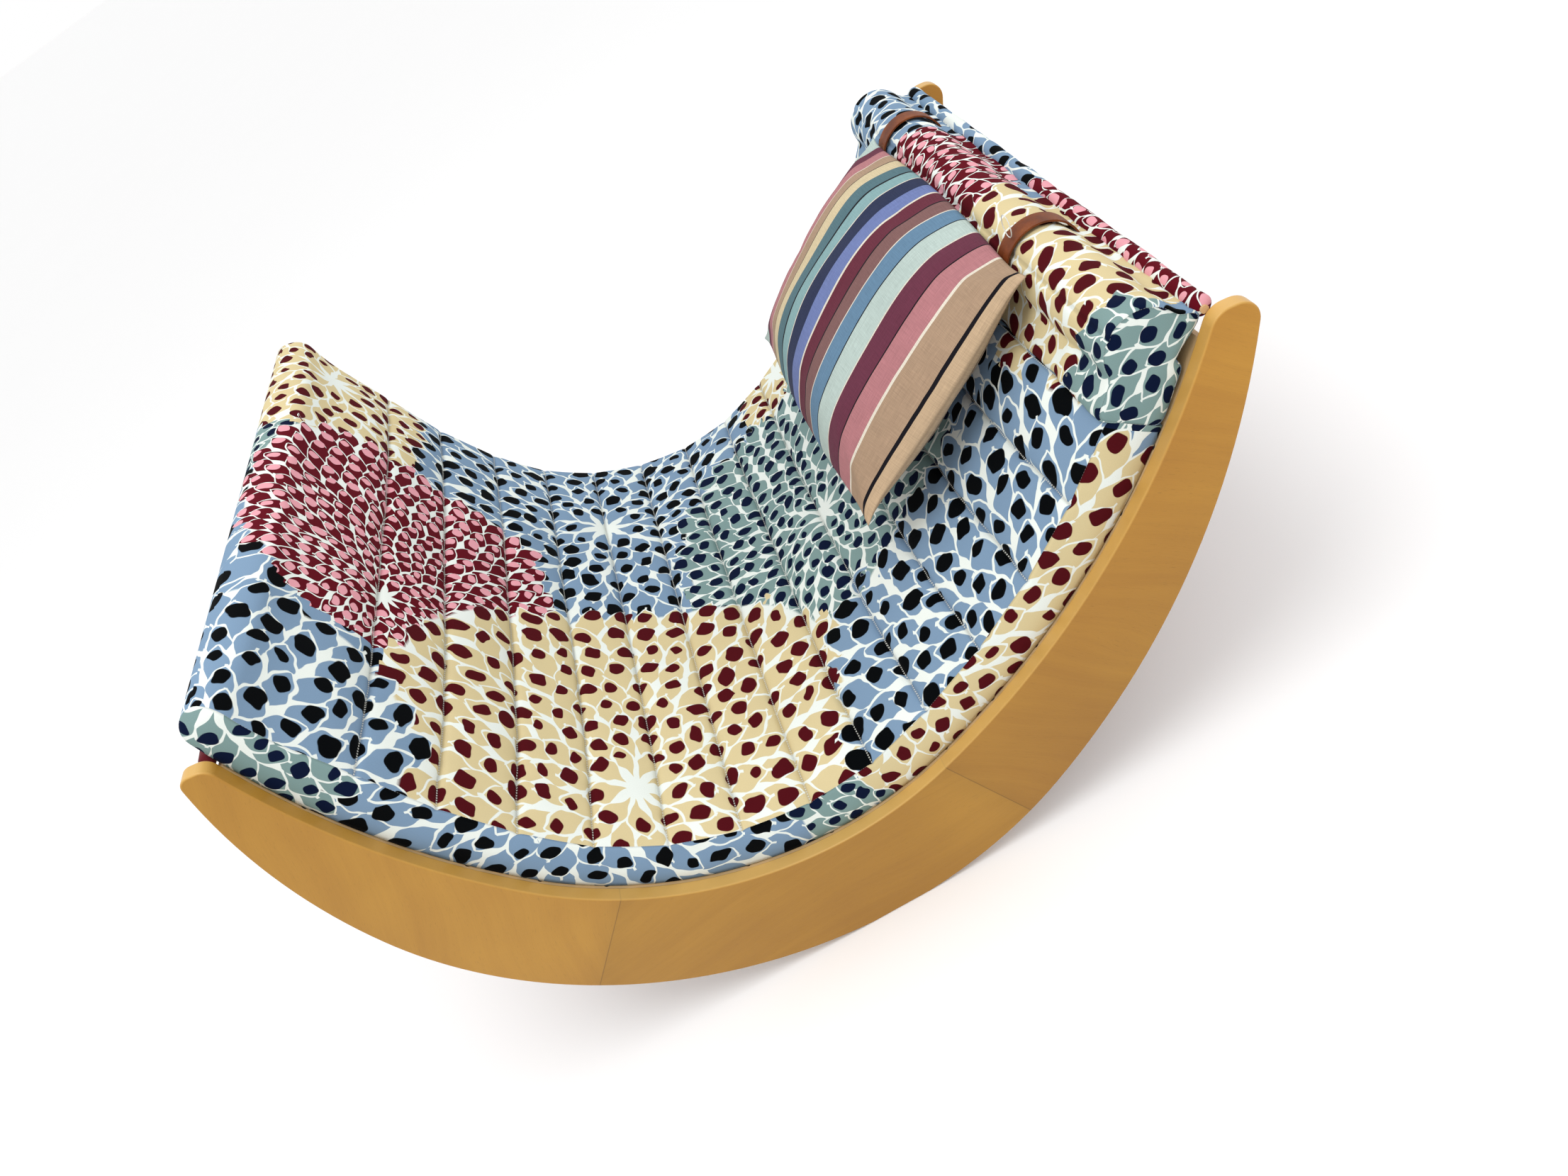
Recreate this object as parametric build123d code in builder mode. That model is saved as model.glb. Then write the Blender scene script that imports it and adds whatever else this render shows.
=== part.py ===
"""Crescent-shaped double rocking lounge: two wooden rocker panels, a bent shell between them,
a channel-quilted mattress with a head roll, and a scatter pillow hung on two leather straps.

Side profiles are drawn in (u, w): u runs from foot to head along the line between the panel tips,
w runs square to it, and the origin is midway between the tips. `side(y)` places that drawing at a
depth y across the lounge, turned by the angle at which the lounge balances on the floor.
All sizes are in millimetres.
"""
from build123d import *
from math import asin, cos, degrees, radians, sin
import os

os.makedirs("parts", exist_ok=True)

# ---------------------------------------------------------------- driving dimensions
WIDTH = 1065.0            # across both rocker panels
PANEL = 22.0              # panel thickness
REST_TILT = -9.1          # turn of the side profile about Y when the lounge stands in balance, degrees
REST_SHIFT = 21.07        # moves the profile along X so that the origin is under the box's centre

# inner edge of a panel: foot limb, seat and head limb arcs, tangent to each other
SEAT_CENTRE = Vector(-80, -100)
SEAT_RADIUS = 460.0
FOOT_LIMB_RADIUS = 986.0
HEAD_LIMB_RADIUS = 1097.0
FOOT_JOIN = -140.3        # direction from the seat centre where the foot limb starts, degrees
HEAD_JOIN = -60.6
FOOT_TIP_ANGLE = -165.4   # ends of the limbs, about their own centres
HEAD_TIP_ANGLE = -24.4

# outer edge of a panel, the rocking edge
ROCKER_CENTRE = Vector(-82, -178)
ROCKER_RADIUS = 586.0
ROCKER_FOOT_JOIN = -161.0
ROCKER_HEAD_JOIN = -49.9
ROCKER_FOOT_RADIUS = 811.0
ROCKER_HEAD_RADIUS = 1112.0
FOOT_TIP_TOP = 8.0        # height of the blunt tips above the tip line
HEAD_TIP_TOP = 18.0
FOOT_TIP_ROUND = 17.0     # corner radius of a tip
HEAD_TIP_ROUND = 27.0
EDGE_ROUND = 2.5          # softened arrises
STANDING_FLAT = 100.0     # short flat on the rocking edge, on which the lounge stands still
JOINT_ANGLES = (-124.2, -60.0)   # butt joints between the three boards of a panel
BOARD_ENDS = (-200.0, 20.0)      # directions from the seat centre beyond the two tips
WEDGE_REACH = 1200.0      # beyond the outer edge from anywhere on it

# layers, as distances outward (down) from the inner edge
MATTRESS_TOP = -95.0
MATTRESS_BOTTOM = 4.0
SHELL_THICK = 9.0
COVER_THICK = 5.0
SHELL_UNDER = MATTRESS_BOTTOM + SHELL_THICK
COVER_UNDER = SHELL_UNDER + COVER_THICK

# mattress
CHANNEL_PITCH = 125.0
CHANNELS = 13
FIRST_SEAM = 130.0        # distance along the inner edge from the foot tip to the first seam
FOOT_OVERHANG = 42.0
FOOT_CORNER_ROUND = 20.0
ROLL_TAIL = 1712.0        # where the cloth behind the head roll ends
MATTRESS_GAP = 5.0        # between the mattress and each panel
BOXING_THICK = 1.5
ROLL_COVER = 2.0          # quilted cover round the head roll's filling
ROLL_CENTRE = Vector(537, 1)
ROLL_RADIUS = 53.0

# padded rims on the two ends of the shell
HEAD_RIM_CENTRE = Vector(612, 14)
HEAD_RIM_RADIUS = 14.0
FOOT_RIM_STATION = -11.0
FOOT_RIM_RADIUS = 11.0
RIM_BAR_RADIUS = 5.0
SHELL_FOOT_END = 2.0
SHELL_HEAD_END = 1744.0

# rails across the lounge
RAIL_STATIONS = (235.0, 650.0, 985.0, 1400.0)   # along the inner edge
RAIL_WIDE = 60.0
RAIL_THICK = 30.0
RAIL_ROUND = 3.0
DOWEL_RADIUS = 5.0
DOWEL_IN_PANEL = 13.0
DOWEL_IN_RAIL = 28.0
DOWEL_SPACING = 32.0
DOWEL_END_GAP = 1.0       # left in a dowel's holes for glue
FIT = 0.1                 # radial room in glued holes
TONGUE = (50.0, 110.0, 8.0)      # loose tongue in a butt joint: along, across and through the board
TONGUE_DISTANCE = 555.0   # from the seat centre
BLOCK_STATIONS = (115.0, 345.0, 450.0, 545.0, 750.0, 880.0, 1090.0, 1190.0, 1290.0, 1505.0, 1600.0)
BLOCK_LONG = 70.0
BLOCK_DEEP = 18.0
BLOCK_WIDE = 20.0
SCREW_RADIUS = 2.0
SCREW_HEAD_RADIUS = 4.0
SCREW_SINK_RADIUS = 5.0
SCREW_LONG = 26.0

# pillow and its straps
PILLOW_LONG = 640.0       # across the lounge
PILLOW_TOP = Vector(483, 35)     # its upper and lower edges in the side profile
PILLOW_FOOT = Vector(187, -221)
PILLOW_HALF_THICK = 70.0
PILLOW_EDGE = 6.0         # half thickness at its edges
PILLOW_COVER = 1.5
WADDING = 8.0             # wall of the soft fillings, which are hollow inside
PILLOW_OFFSET = 10.0      # pillow centre, towards the right panel
STRAPS_OFFSET = 42.0      # middle between the straps, towards the right panel
STRAP_SPACING = 530.0
STRAP_WIDE = 32.0
STRAP_THICK = 2.6
STRAP_GAP = 0.4           # between a strap and the roll
STRAP_FRONT = 172.0       # where a strap starts and leaves the roll, about the roll's centre, degrees
STRAP_BACK = 8.0
ROD_CENTRE = Vector(599.4, -5.4)
ROD_RADIUS = 3.0
ROD_OVERHANG = 8.0
TIE_RADIUS = 15.0
TIE_THICK = 0.7
TIE_ANGLE = 120.0         # where the tie lies on the roll, about the roll's centre, degrees
TIE_GAP = 0.3

HALF = WIDTH / 2
INSIDE = WIDTH - 2 * PANEL


def turned(local):
    """X and Z offsets of a profile point once the profile is turned by the rest tilt."""
    tilt = radians(REST_TILT)
    return Vector(local.X * cos(tilt) - local.Y * sin(tilt), local.X * sin(tilt) + local.Y * cos(tilt))


# height of the profile's origin when the standing flat is on the floor
FLAT_HALF_ANGLE = degrees(asin(STANDING_FLAT / 2 / ROCKER_RADIUS))
FLOOR_DROP = ROCKER_RADIUS * cos(radians(FLAT_HALF_ANGLE)) - turned(ROCKER_CENTRE).Y


# ---------------------------------------------------------------- drawing helpers
def direction(angle):
    return Vector(cos(radians(angle)), sin(radians(angle)))


def side(y):
    """Sketch plane of the side profile at depth y; its normal points to -Y."""
    tilt = radians(REST_TILT)
    return Plane(origin=(REST_SHIFT, y, FLOOR_DROP), x_dir=(cos(tilt), 0, sin(tilt)), z_dir=(0, -1, 0))


def write(part, label):
    part.label = label
    export_step(part, f"parts/{label}.step")


class Arc3:
    """Three tangent arcs, foot limb, middle and head limb, that can be drawn at any offset."""

    def __init__(self, centre, radius, foot_join, head_join, foot_radius, head_radius, foot_end, head_end):
        foot_centre = centre + direction(foot_join) * (radius - foot_radius)
        head_centre = centre + direction(head_join) * (radius - head_radius)
        self.zones = (
            (foot_centre, foot_radius, foot_end, foot_join),
            (centre, radius, foot_join, head_join),
            (head_centre, head_radius, head_join, head_end),
        )
        self.lengths = [r * radians(b - a) for _, r, a, b in self.zones]
        self.length = sum(self.lengths)

    def locate(self, s):
        """Zone centre, radius and angle at the distance s along the unoffset arcs."""
        for number, (centre, radius, start, end) in enumerate(self.zones):
            if s <= self.lengths[number] or number == 2:
                return centre, radius, start + degrees(s / radius)
            s -= self.lengths[number]

    def point(self, s, offset=0.0):
        centre, radius, angle = self.locate(s)
        return centre + direction(angle) * (radius + offset)

    def tip(self, zone, height):
        """Distance along the arcs at which the foot limb (0) or head limb (2) reaches a height."""
        centre, radius, start, _ = self.zones[zone]
        rise = degrees(asin((height - centre.Y) / radius))
        if zone == 0:
            return radians(-180 - rise - start) * radius
        return self.length - self.lengths[2] + radians(rise - start) * radius

    def draw(self, s0, s1, offset=0.0):
        """Adds the arcs from s0 to s1, moved outward by offset, to the current BuildLine."""
        begin = 0.0
        for number, (centre, radius, start, end) in enumerate(self.zones):
            finish = begin + self.lengths[number]
            low = s0 if number == 0 else max(s0, begin)
            high = s1 if number == 2 else min(s1, finish)
            if high - low > 1e-6:
                first = start + degrees((low - begin) / radius)
                CenterArc(centre, radius + offset, first, degrees((high - low) / radius))
            begin = finish


INNER = Arc3(SEAT_CENTRE, SEAT_RADIUS, FOOT_JOIN, HEAD_JOIN,
             FOOT_LIMB_RADIUS, HEAD_LIMB_RADIUS, FOOT_TIP_ANGLE, HEAD_TIP_ANGLE)
OUTER = Arc3(ROCKER_CENTRE, ROCKER_RADIUS, ROCKER_FOOT_JOIN, ROCKER_HEAD_JOIN,
             ROCKER_FOOT_RADIUS, ROCKER_HEAD_RADIUS, -172.0, -11.0)


def draw_band(path, s0, s1, top, bottom):
    """Closed outline between two offsets of a path, with square ends."""
    path.draw(s0, s1, top)
    path.draw(s0, s1, bottom)
    Line(path.point(s0, top), path.point(s0, bottom))
    Line(path.point(s1, top), path.point(s1, bottom))


def along(path, s, offset, y):
    """Plane on the path at distance s, with x along it, y across the lounge and z inward."""
    centre, radius, angle = path.locate(s)
    local = centre + direction(angle) * (radius + offset)
    frame = side(y)
    inward = frame.from_local_coords(Vector(-direction(angle).X, -direction(angle).Y, 0)) - frame.origin
    tangent = frame.from_local_coords(Vector(-direction(angle).Y, direction(angle).X, 0)) - frame.origin
    return Plane(origin=frame.from_local_coords(Vector(local.X, local.Y, 0)), x_dir=tangent, z_dir=inward)


# ---------------------------------------------------------------- rocker panels
LEFT = -HALF              # outer face of the left panel
RIGHT_INNER = HALF - PANEL
RAIL_MIDDLE = COVER_UNDER + 1 + RAIL_THICK / 2
LEFT_END = -INSIDE / 2    # inner faces of the panels, where the cross pieces end
RIGHT_END = INSIDE / 2


def draw_panel():
    """Crescent between the inner and outer edges, closed across the two tips."""
    inner_foot, outer_foot = INNER.tip(0, FOOT_TIP_TOP), OUTER.tip(0, FOOT_TIP_TOP)
    inner_head, outer_head = INNER.tip(2, HEAD_TIP_TOP), OUTER.tip(2, HEAD_TIP_TOP)
    flat_middle = OUTER.lengths[0] + ROCKER_RADIUS * radians(-90 - REST_TILT - ROCKER_FOOT_JOIN)
    flat_start = flat_middle - ROCKER_RADIUS * radians(FLAT_HALF_ANGLE)
    flat_end = flat_middle + ROCKER_RADIUS * radians(FLAT_HALF_ANGLE)
    INNER.draw(inner_foot, inner_head)
    OUTER.draw(outer_foot, flat_start)
    Line(OUTER.point(flat_start), OUTER.point(flat_end))
    OUTER.draw(flat_end, outer_head)
    Line(INNER.point(inner_foot), OUTER.point(outer_foot))
    Line(INNER.point(inner_head), OUTER.point(outer_head))


def draw_wedge(angle_from, angle_to):
    """Sector seen from the seat centre, which cuts one board out of the crescent."""
    middle = (angle_from + angle_to) / 2
    corners = [SEAT_CENTRE + direction(a) * WEDGE_REACH for a in (angle_from, middle, angle_to)]
    Polyline(SEAT_CENTRE, *corners, close=True)


def dowel_places(y):
    """Planes of the two dowels at one end of every rail, normal along Y."""
    places = []
    for station in RAIL_STATIONS:
        rail = along(INNER, station, RAIL_MIDDLE, y)
        for step in (-DOWEL_SPACING / 2, DOWEL_SPACING / 2):
            places.append(Plane(origin=rail.origin + rail.x_dir * step, z_dir=(0, 1, 0)))
    return places


def tongue_places(y):
    """Planes of the loose tongues in a panel's two butt joints, z across the board."""
    frame = side(y)
    places = []
    for angle in JOINT_ANGLES:
        local = SEAT_CENTRE + direction(angle) * TONGUE_DISTANCE
        across = frame.from_local_coords(Vector(direction(angle).X, direction(angle).Y, 0)) - frame.origin
        origin = frame.from_local_coords(Vector(local.X, local.Y, 0))
        places.append(Plane(origin=origin, x_dir=(0, 1, 0), z_dir=across))
    return places


BOARD_ANGLES = {
    "foot": (BOARD_ENDS[0], JOINT_ANGLES[0]),
    "seat": JOINT_ANGLES,
    "head": (JOINT_ANGLES[1], BOARD_ENDS[1]),
}
PANEL_SIDES = {"left": (LEFT, LEFT_END), "right": (RIGHT_INNER, RIGHT_END)}

for panel_side, (face, inner_face) in PANEL_SIDES.items():
    with BuildPart() as panel:
        with BuildSketch(side(face)) as crescent:
            with BuildLine():
                draw_panel()
            make_face()
            tips = crescent.vertices().filter_by(lambda v: v.Y > 0).sort_by(Axis.X)
            fillet(tips[:2], FOOT_TIP_ROUND)
            tips = crescent.vertices().filter_by(lambda v: v.Y > 0 and v.X > 0).sort_by(Axis.Y)
            fillet(tips[-2:], HEAD_TIP_ROUND)
        extrude(amount=-PANEL)
        broad_faces = panel.faces().sort_by(Axis.Y)
        fillet(broad_faces[0].edges() + broad_faces[-1].edges(), EDGE_ROUND)

    middle = face + PANEL / 2
    for board_name, (angle_from, angle_to) in BOARD_ANGLES.items():
        with BuildPart() as board:
            add(panel.part)
            with BuildSketch(side(face - 1)):
                with BuildLine():
                    draw_wedge(angle_from, angle_to)
                make_face()
            extrude(amount=-PANEL - 2, mode=Mode.INTERSECT)
            with Locations(*tongue_places(middle)):
                Box(TONGUE[2], TONGUE[0], TONGUE[1], mode=Mode.SUBTRACT)
            with Locations(*dowel_places(inner_face)):
                Cylinder(DOWEL_RADIUS + FIT, 2 * DOWEL_IN_PANEL, mode=Mode.SUBTRACT)
        write(board.part, f"{panel_side}_panel_{board_name}")

    with BuildPart() as tongues:
        with Locations(*tongue_places(middle)):
            Box(TONGUE[2], TONGUE[0], TONGUE[1])
    write(tongues.part, f"{panel_side}_panel_tongues")

# ---------------------------------------------------------------- cross rails and dowels
rail_planes = [along(INNER, station, RAIL_MIDDLE, 0) for station in RAIL_STATIONS]
RAIL_NAMES = ("foot_rail", "front_seat_rail", "rear_seat_rail", "back_rail")
for rail_name, place in zip(RAIL_NAMES, rail_planes):
    with BuildPart() as rail:
        with Locations(place):
            Box(RAIL_WIDE, INSIDE, RAIL_THICK)
        fillet(rail.edges().filter_by(Axis.Y), RAIL_ROUND)
        for end in (LEFT_END, RIGHT_END):
            with Locations(*dowel_places(end)):
                Cylinder(DOWEL_RADIUS + FIT, 2 * DOWEL_IN_RAIL, mode=Mode.SUBTRACT)
    write(rail.part, rail_name)

with BuildPart() as dowels:
    for end, inward in ((LEFT_END, 1), (RIGHT_END, -1)):
        middle = end + inward * (DOWEL_IN_RAIL - DOWEL_IN_PANEL) / 2
        with Locations(*dowel_places(middle)):
            Cylinder(DOWEL_RADIUS, DOWEL_IN_RAIL + DOWEL_IN_PANEL - DOWEL_END_GAP)
write(dowels.part, "rail_dowels")

# ---------------------------------------------------------------- shell, its blocks, screws and cover
SHELL_PARTS = {
    "shell_foot": (SHELL_FOOT_END, INNER.lengths[0]),
    "shell_seat": (INNER.lengths[0], INNER.lengths[0] + INNER.lengths[1]),
    "shell_head": (INNER.lengths[0] + INNER.lengths[1], SHELL_HEAD_END),
}
BLOCK_SIDES = {"left": LEFT_END, "right": RIGHT_END - BLOCK_WIDE}
BLOCK_MIDDLES = (LEFT_END + BLOCK_WIDE / 2, RIGHT_END - BLOCK_WIDE / 2)


def screw_places():
    """Planes on the shell's upper face above every glue block, normal inward."""
    places = []
    for station in BLOCK_STATIONS:
        for y in BLOCK_MIDDLES:
            places.append(along(INNER, station, MATTRESS_BOTTOM, y))
    return places


for shell_name, (start, end) in SHELL_PARTS.items():
    with BuildPart() as ply:
        with BuildSketch(side(LEFT_END)):
            with BuildLine():
                draw_band(INNER, start, end, MATTRESS_BOTTOM, SHELL_UNDER)
            make_face()
        extrude(amount=-INSIDE)
        with Locations(*screw_places()):
            CounterSinkHole(SCREW_RADIUS, SCREW_SINK_RADIUS, depth=2 * SHELL_THICK)
    write(ply.part, shell_name)

for block_side, y in BLOCK_SIDES.items():
    with BuildPart() as blocks:
        for station in BLOCK_STATIONS:
            with BuildSketch(side(y)):
                with BuildLine():
                    draw_band(INNER, station - BLOCK_LONG / 2, station + BLOCK_LONG / 2,
                              SHELL_UNDER, SHELL_UNDER + BLOCK_DEEP)
                make_face()
            extrude(amount=-BLOCK_WIDE)
        with Locations(*screw_places()):
            Hole(SCREW_RADIUS, depth=SCREW_LONG + 1)
    write(blocks.part, f"{block_side}_glue_blocks")

with BuildPart() as shell_screws:
    for place in screw_places():
        with BuildSketch(Plane(origin=place.origin, x_dir=place.z_dir, z_dir=place.y_dir)):
            with BuildLine():
                Polyline((0, 0), (0, SCREW_HEAD_RADIUS),
                         (SCREW_RADIUS - SCREW_HEAD_RADIUS, SCREW_RADIUS - FIT),
                         (-SCREW_LONG, SCREW_RADIUS - FIT), (-SCREW_LONG, 0), close=True)
            make_face()
        revolve(axis=Axis(place.origin, place.z_dir))
write(shell_screws.part, "shell_screws")

for cover_name, (start, end) in SHELL_PARTS.items():
    with BuildPart() as cover:
        with BuildSketch(side(LEFT_END + BLOCK_WIDE)):
            with BuildLine():
                draw_band(INNER, start, end, SHELL_UNDER, COVER_UNDER)
            make_face()
        extrude(amount=-(INSIDE - 2 * BLOCK_WIDE))
    write(cover.part, cover_name.replace("shell", "back_cover"))

# ---------------------------------------------------------------- padded rims on the shell's ends
foot_rim_centre = INNER.point(FOOT_RIM_STATION, MATTRESS_BOTTOM + FOOT_RIM_RADIUS)
for rim_name, centre, radius in (("foot_rim", foot_rim_centre, FOOT_RIM_RADIUS),
                                 ("head_rim", HEAD_RIM_CENTRE, HEAD_RIM_RADIUS)):
    with BuildPart() as bar:
        with BuildSketch(side(LEFT_END)):
            with Locations((centre.X, centre.Y)):
                Circle(RIM_BAR_RADIUS)
        extrude(amount=-INSIDE)
    write(bar.part, f"{rim_name}_bar")
    with BuildPart() as pad:
        with BuildSketch(side(LEFT_END + 1)):
            with Locations((centre.X, centre.Y)):
                Circle(radius)
                Circle(RIM_BAR_RADIUS + FIT, mode=Mode.SUBTRACT)
        extrude(amount=-(INSIDE - 2))
    write(pad.part, f"{rim_name}_pad")

# ---------------------------------------------------------------- mattress
MATTRESS_LEFT = LEFT_END + MATTRESS_GAP
MATTRESS_WIDE = INSIDE - 2 * MATTRESS_GAP
seams = [-FOOT_OVERHANG] + [FIRST_SEAM + CHANNEL_PITCH * n for n in range(CHANNELS)]
for number, (start, end) in enumerate(zip(seams, seams[1:]), 1):
    with BuildPart() as channel:
        with BuildSketch(side(MATTRESS_LEFT + BOXING_THICK)) as section:
            with BuildLine():
                draw_band(INNER, start, end, MATTRESS_TOP, MATTRESS_BOTTOM)
            make_face()
            if number == 1:
                fillet(section.vertices().sort_by(Axis.Y)[-2:], FOOT_CORNER_ROUND)
        extrude(amount=-(MATTRESS_WIDE - 2 * BOXING_THICK))
    write(channel.part, f"mattress_channel_{number:02d}")

ROLL_START = seams[-1]


def roll_body(inset):
    """Head roll with its tail on the mattress, shrunk by inset on every side."""
    with BuildPart() as body:
        with BuildSketch(side(MATTRESS_LEFT + BOXING_THICK + inset)):
            with BuildLine():
                draw_band(INNER, ROLL_START, ROLL_TAIL, MATTRESS_TOP, MATTRESS_BOTTOM)
            make_face()
            with Locations((ROLL_CENTRE.X, ROLL_CENTRE.Y)):
                Circle(ROLL_RADIUS)
            if inset:
                offset(amount=-inset, kind=Kind.INTERSECTION)
        extrude(amount=-(MATTRESS_WIDE - 2 * BOXING_THICK - 2 * inset))
    return body.part


with BuildPart() as roll:
    add(roll_body(0))
    add(roll_body(ROLL_COVER), mode=Mode.SUBTRACT)
write(roll.part, "head_roll_cover")

with BuildPart() as roll_filling:
    add(roll_body(ROLL_COVER))
    add(roll_body(ROLL_COVER + WADDING), mode=Mode.SUBTRACT)
write(roll_filling.part, "head_roll_filling")

BOXING_SIDES = {"left": MATTRESS_LEFT, "right": MATTRESS_LEFT + MATTRESS_WIDE - BOXING_THICK}
for boxing_side, y in BOXING_SIDES.items():
    with BuildPart() as boxing:
        with BuildSketch(side(y)):
            with BuildLine():
                draw_band(INNER, 0, ROLL_START, MATTRESS_TOP, MATTRESS_BOTTOM)
            make_face()
        extrude(amount=-BOXING_THICK)
    write(boxing.part, f"{boxing_side}_boxing_strip")

# ---------------------------------------------------------------- straps, their rod and the tie
STRAP_RADIUS = ROLL_RADIUS + STRAP_GAP + STRAP_THICK / 2
STRAP_MIDDLES = {"left": STRAPS_OFFSET - STRAP_SPACING / 2, "right": STRAPS_OFFSET + STRAP_SPACING / 2}
leaves_roll = ROLL_CENTRE + direction(STRAP_BACK) * STRAP_RADIUS
EYE_RADIUS = ROD_RADIUS + FIT + STRAP_THICK
for strap_side, y in STRAP_MIDDLES.items():
    with BuildPart() as strap:
        with BuildSketch(side(y - STRAP_WIDE / 2)):
            with BuildLine():
                CenterArc(ROLL_CENTRE, STRAP_RADIUS, STRAP_BACK, STRAP_FRONT - STRAP_BACK)
            trace(line_width=STRAP_THICK)
            with BuildLine():
                Line(leaves_roll, ROD_CENTRE - Vector(EYE_RADIUS - STRAP_THICK / 2, 0))
            trace(line_width=STRAP_THICK)
            with Locations((ROD_CENTRE.X, ROD_CENTRE.Y)):
                Circle(EYE_RADIUS)
                Circle(ROD_RADIUS + FIT, mode=Mode.SUBTRACT)
        extrude(amount=-STRAP_WIDE)
    write(strap.part, f"{strap_side}_strap")

rod_long = STRAP_SPACING + STRAP_WIDE + 2 * ROD_OVERHANG
with BuildPart() as rod:
    with BuildSketch(side(STRAPS_OFFSET - rod_long / 2)):
        with Locations((ROD_CENTRE.X, ROD_CENTRE.Y)):
            Circle(ROD_RADIUS)
    extrude(amount=-rod_long)
write(rod.part, "strap_rod")

tie_distance = STRAP_RADIUS + STRAP_THICK / 2 + TIE_RADIUS + TIE_THICK + TIE_GAP
tie_local = ROLL_CENTRE + direction(TIE_ANGLE) * tie_distance
tie_frame = side(STRAP_MIDDLES["left"])
tie_origin = tie_frame.from_local_coords(Vector(tie_local.X, tie_local.Y, 0))
tie_place = Plane(origin=tie_origin, z_dir=tie_frame.x_dir)
with BuildPart() as tie:
    with Locations(tie_place):
        Torus(TIE_RADIUS, TIE_THICK)
write(tie.part, "pillow_tie")

# ---------------------------------------------------------------- scatter pillow
PILLOW_SECTIONS = ((-1.0, 0.12, 0.94), (-0.82, 0.62, 0.97), (-0.4, 0.95, 1.0),
                   (0.4, 0.95, 1.0), (0.82, 0.62, 0.97), (1.0, 0.12, 0.94))


def draw_pillow_section(thick, tall, inset):
    """Lens between the pillow's lower and upper edges; thick and tall scale it, inset shrinks it."""
    middle = (PILLOW_TOP + PILLOW_FOOT) / 2
    half = (PILLOW_TOP - PILLOW_FOOT) / 2
    up = half.normalized()
    out = Vector(-up.Y, up.X)
    reach = half.length * tall - inset
    edge = max(PILLOW_EDGE * min(1, thick + 0.4) - inset, 0.5)
    bulge = edge + (PILLOW_HALF_THICK - PILLOW_EDGE) * thick
    head, foot = middle + up * reach, middle - up * reach
    ThreePointArc(foot + out * edge, middle + out * bulge, head + out * edge)
    ThreePointArc(foot - out * edge, middle - out * bulge, head - out * edge)
    Line(foot + out * edge, foot - out * edge)
    Line(head + out * edge, head - out * edge)


def pillow_body(inset, sections):
    with BuildPart() as body:
        for place, thick, tall in sections:
            y = PILLOW_OFFSET + place * (PILLOW_LONG / 2 - inset)
            with BuildSketch(side(y)):
                with BuildLine():
                    draw_pillow_section(thick, tall, inset)
                make_face()
        loft(ruled=True)
    return body.part


with BuildPart() as pillow_filling:
    add(pillow_body(PILLOW_COVER, PILLOW_SECTIONS))
    add(pillow_body(WADDING, PILLOW_SECTIONS[1:-1]), mode=Mode.SUBTRACT)
write(pillow_filling.part, "pillow_filling")

with BuildPart() as pillow_cover:
    add(pillow_body(0, PILLOW_SECTIONS))
    add(pillow_body(PILLOW_COVER, PILLOW_SECTIONS), mode=Mode.SUBTRACT)
write(pillow_cover.part, "pillow_cover")
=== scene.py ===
from math import cos, pi, radians, sin, sqrt, tau

import bmesh
import bpy
import numpy as np
from mathutils import Matrix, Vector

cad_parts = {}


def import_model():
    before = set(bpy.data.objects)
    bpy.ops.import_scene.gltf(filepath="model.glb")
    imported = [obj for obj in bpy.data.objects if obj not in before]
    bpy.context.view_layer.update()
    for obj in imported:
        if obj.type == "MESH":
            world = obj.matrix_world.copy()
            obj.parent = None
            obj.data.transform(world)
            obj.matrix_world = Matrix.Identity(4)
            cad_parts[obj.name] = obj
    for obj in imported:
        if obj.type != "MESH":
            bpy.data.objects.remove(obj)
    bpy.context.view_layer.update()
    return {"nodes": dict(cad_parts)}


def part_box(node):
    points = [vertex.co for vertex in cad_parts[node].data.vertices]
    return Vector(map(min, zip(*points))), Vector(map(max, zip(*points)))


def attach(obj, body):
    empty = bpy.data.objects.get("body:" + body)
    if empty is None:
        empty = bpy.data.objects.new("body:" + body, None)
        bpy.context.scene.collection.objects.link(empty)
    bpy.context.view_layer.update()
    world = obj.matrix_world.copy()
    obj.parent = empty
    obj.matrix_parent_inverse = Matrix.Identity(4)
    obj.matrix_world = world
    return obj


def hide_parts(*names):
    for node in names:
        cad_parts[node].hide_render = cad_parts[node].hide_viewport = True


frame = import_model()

MM = 0.001
FAR_AWAY = 1000.0            # stands for nowhere near, millimetres

# ---- side profile, millimetres
# (u, w): u runs from the foot tips to the head tips, w square to it, origin midway between the tips
TILT = radians(-9.1)
SHIFT = 21.07
ROCKER_RADIUS = 586.0
ROCKER_CENTRE = (-82.0, -178.0)
STANDING_FLAT = 100.0
FLOOR_DROP = (sqrt(ROCKER_RADIUS ** 2 - (STANDING_FLAT / 2) ** 2)
              - ROCKER_CENTRE[0] * sin(TILT) - ROCKER_CENTRE[1] * cos(TILT))
HALF_WIDTH = 532.5           # to the outer faces of the panels
HALF_INSIDE = 510.5          # to their inner faces

SEAT_CENTRE, SEAT_RADIUS = (-80.0, -100.0), 460.0
FOOT_RADIUS, HEAD_RADIUS = 986.0, 1097.0
FOOT_START, FOOT_JOIN, HEAD_JOIN = (radians(a) for a in (-165.4, -140.3, -60.6))


def direction(angle):
    return np.array([cos(angle), sin(angle)])


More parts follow.
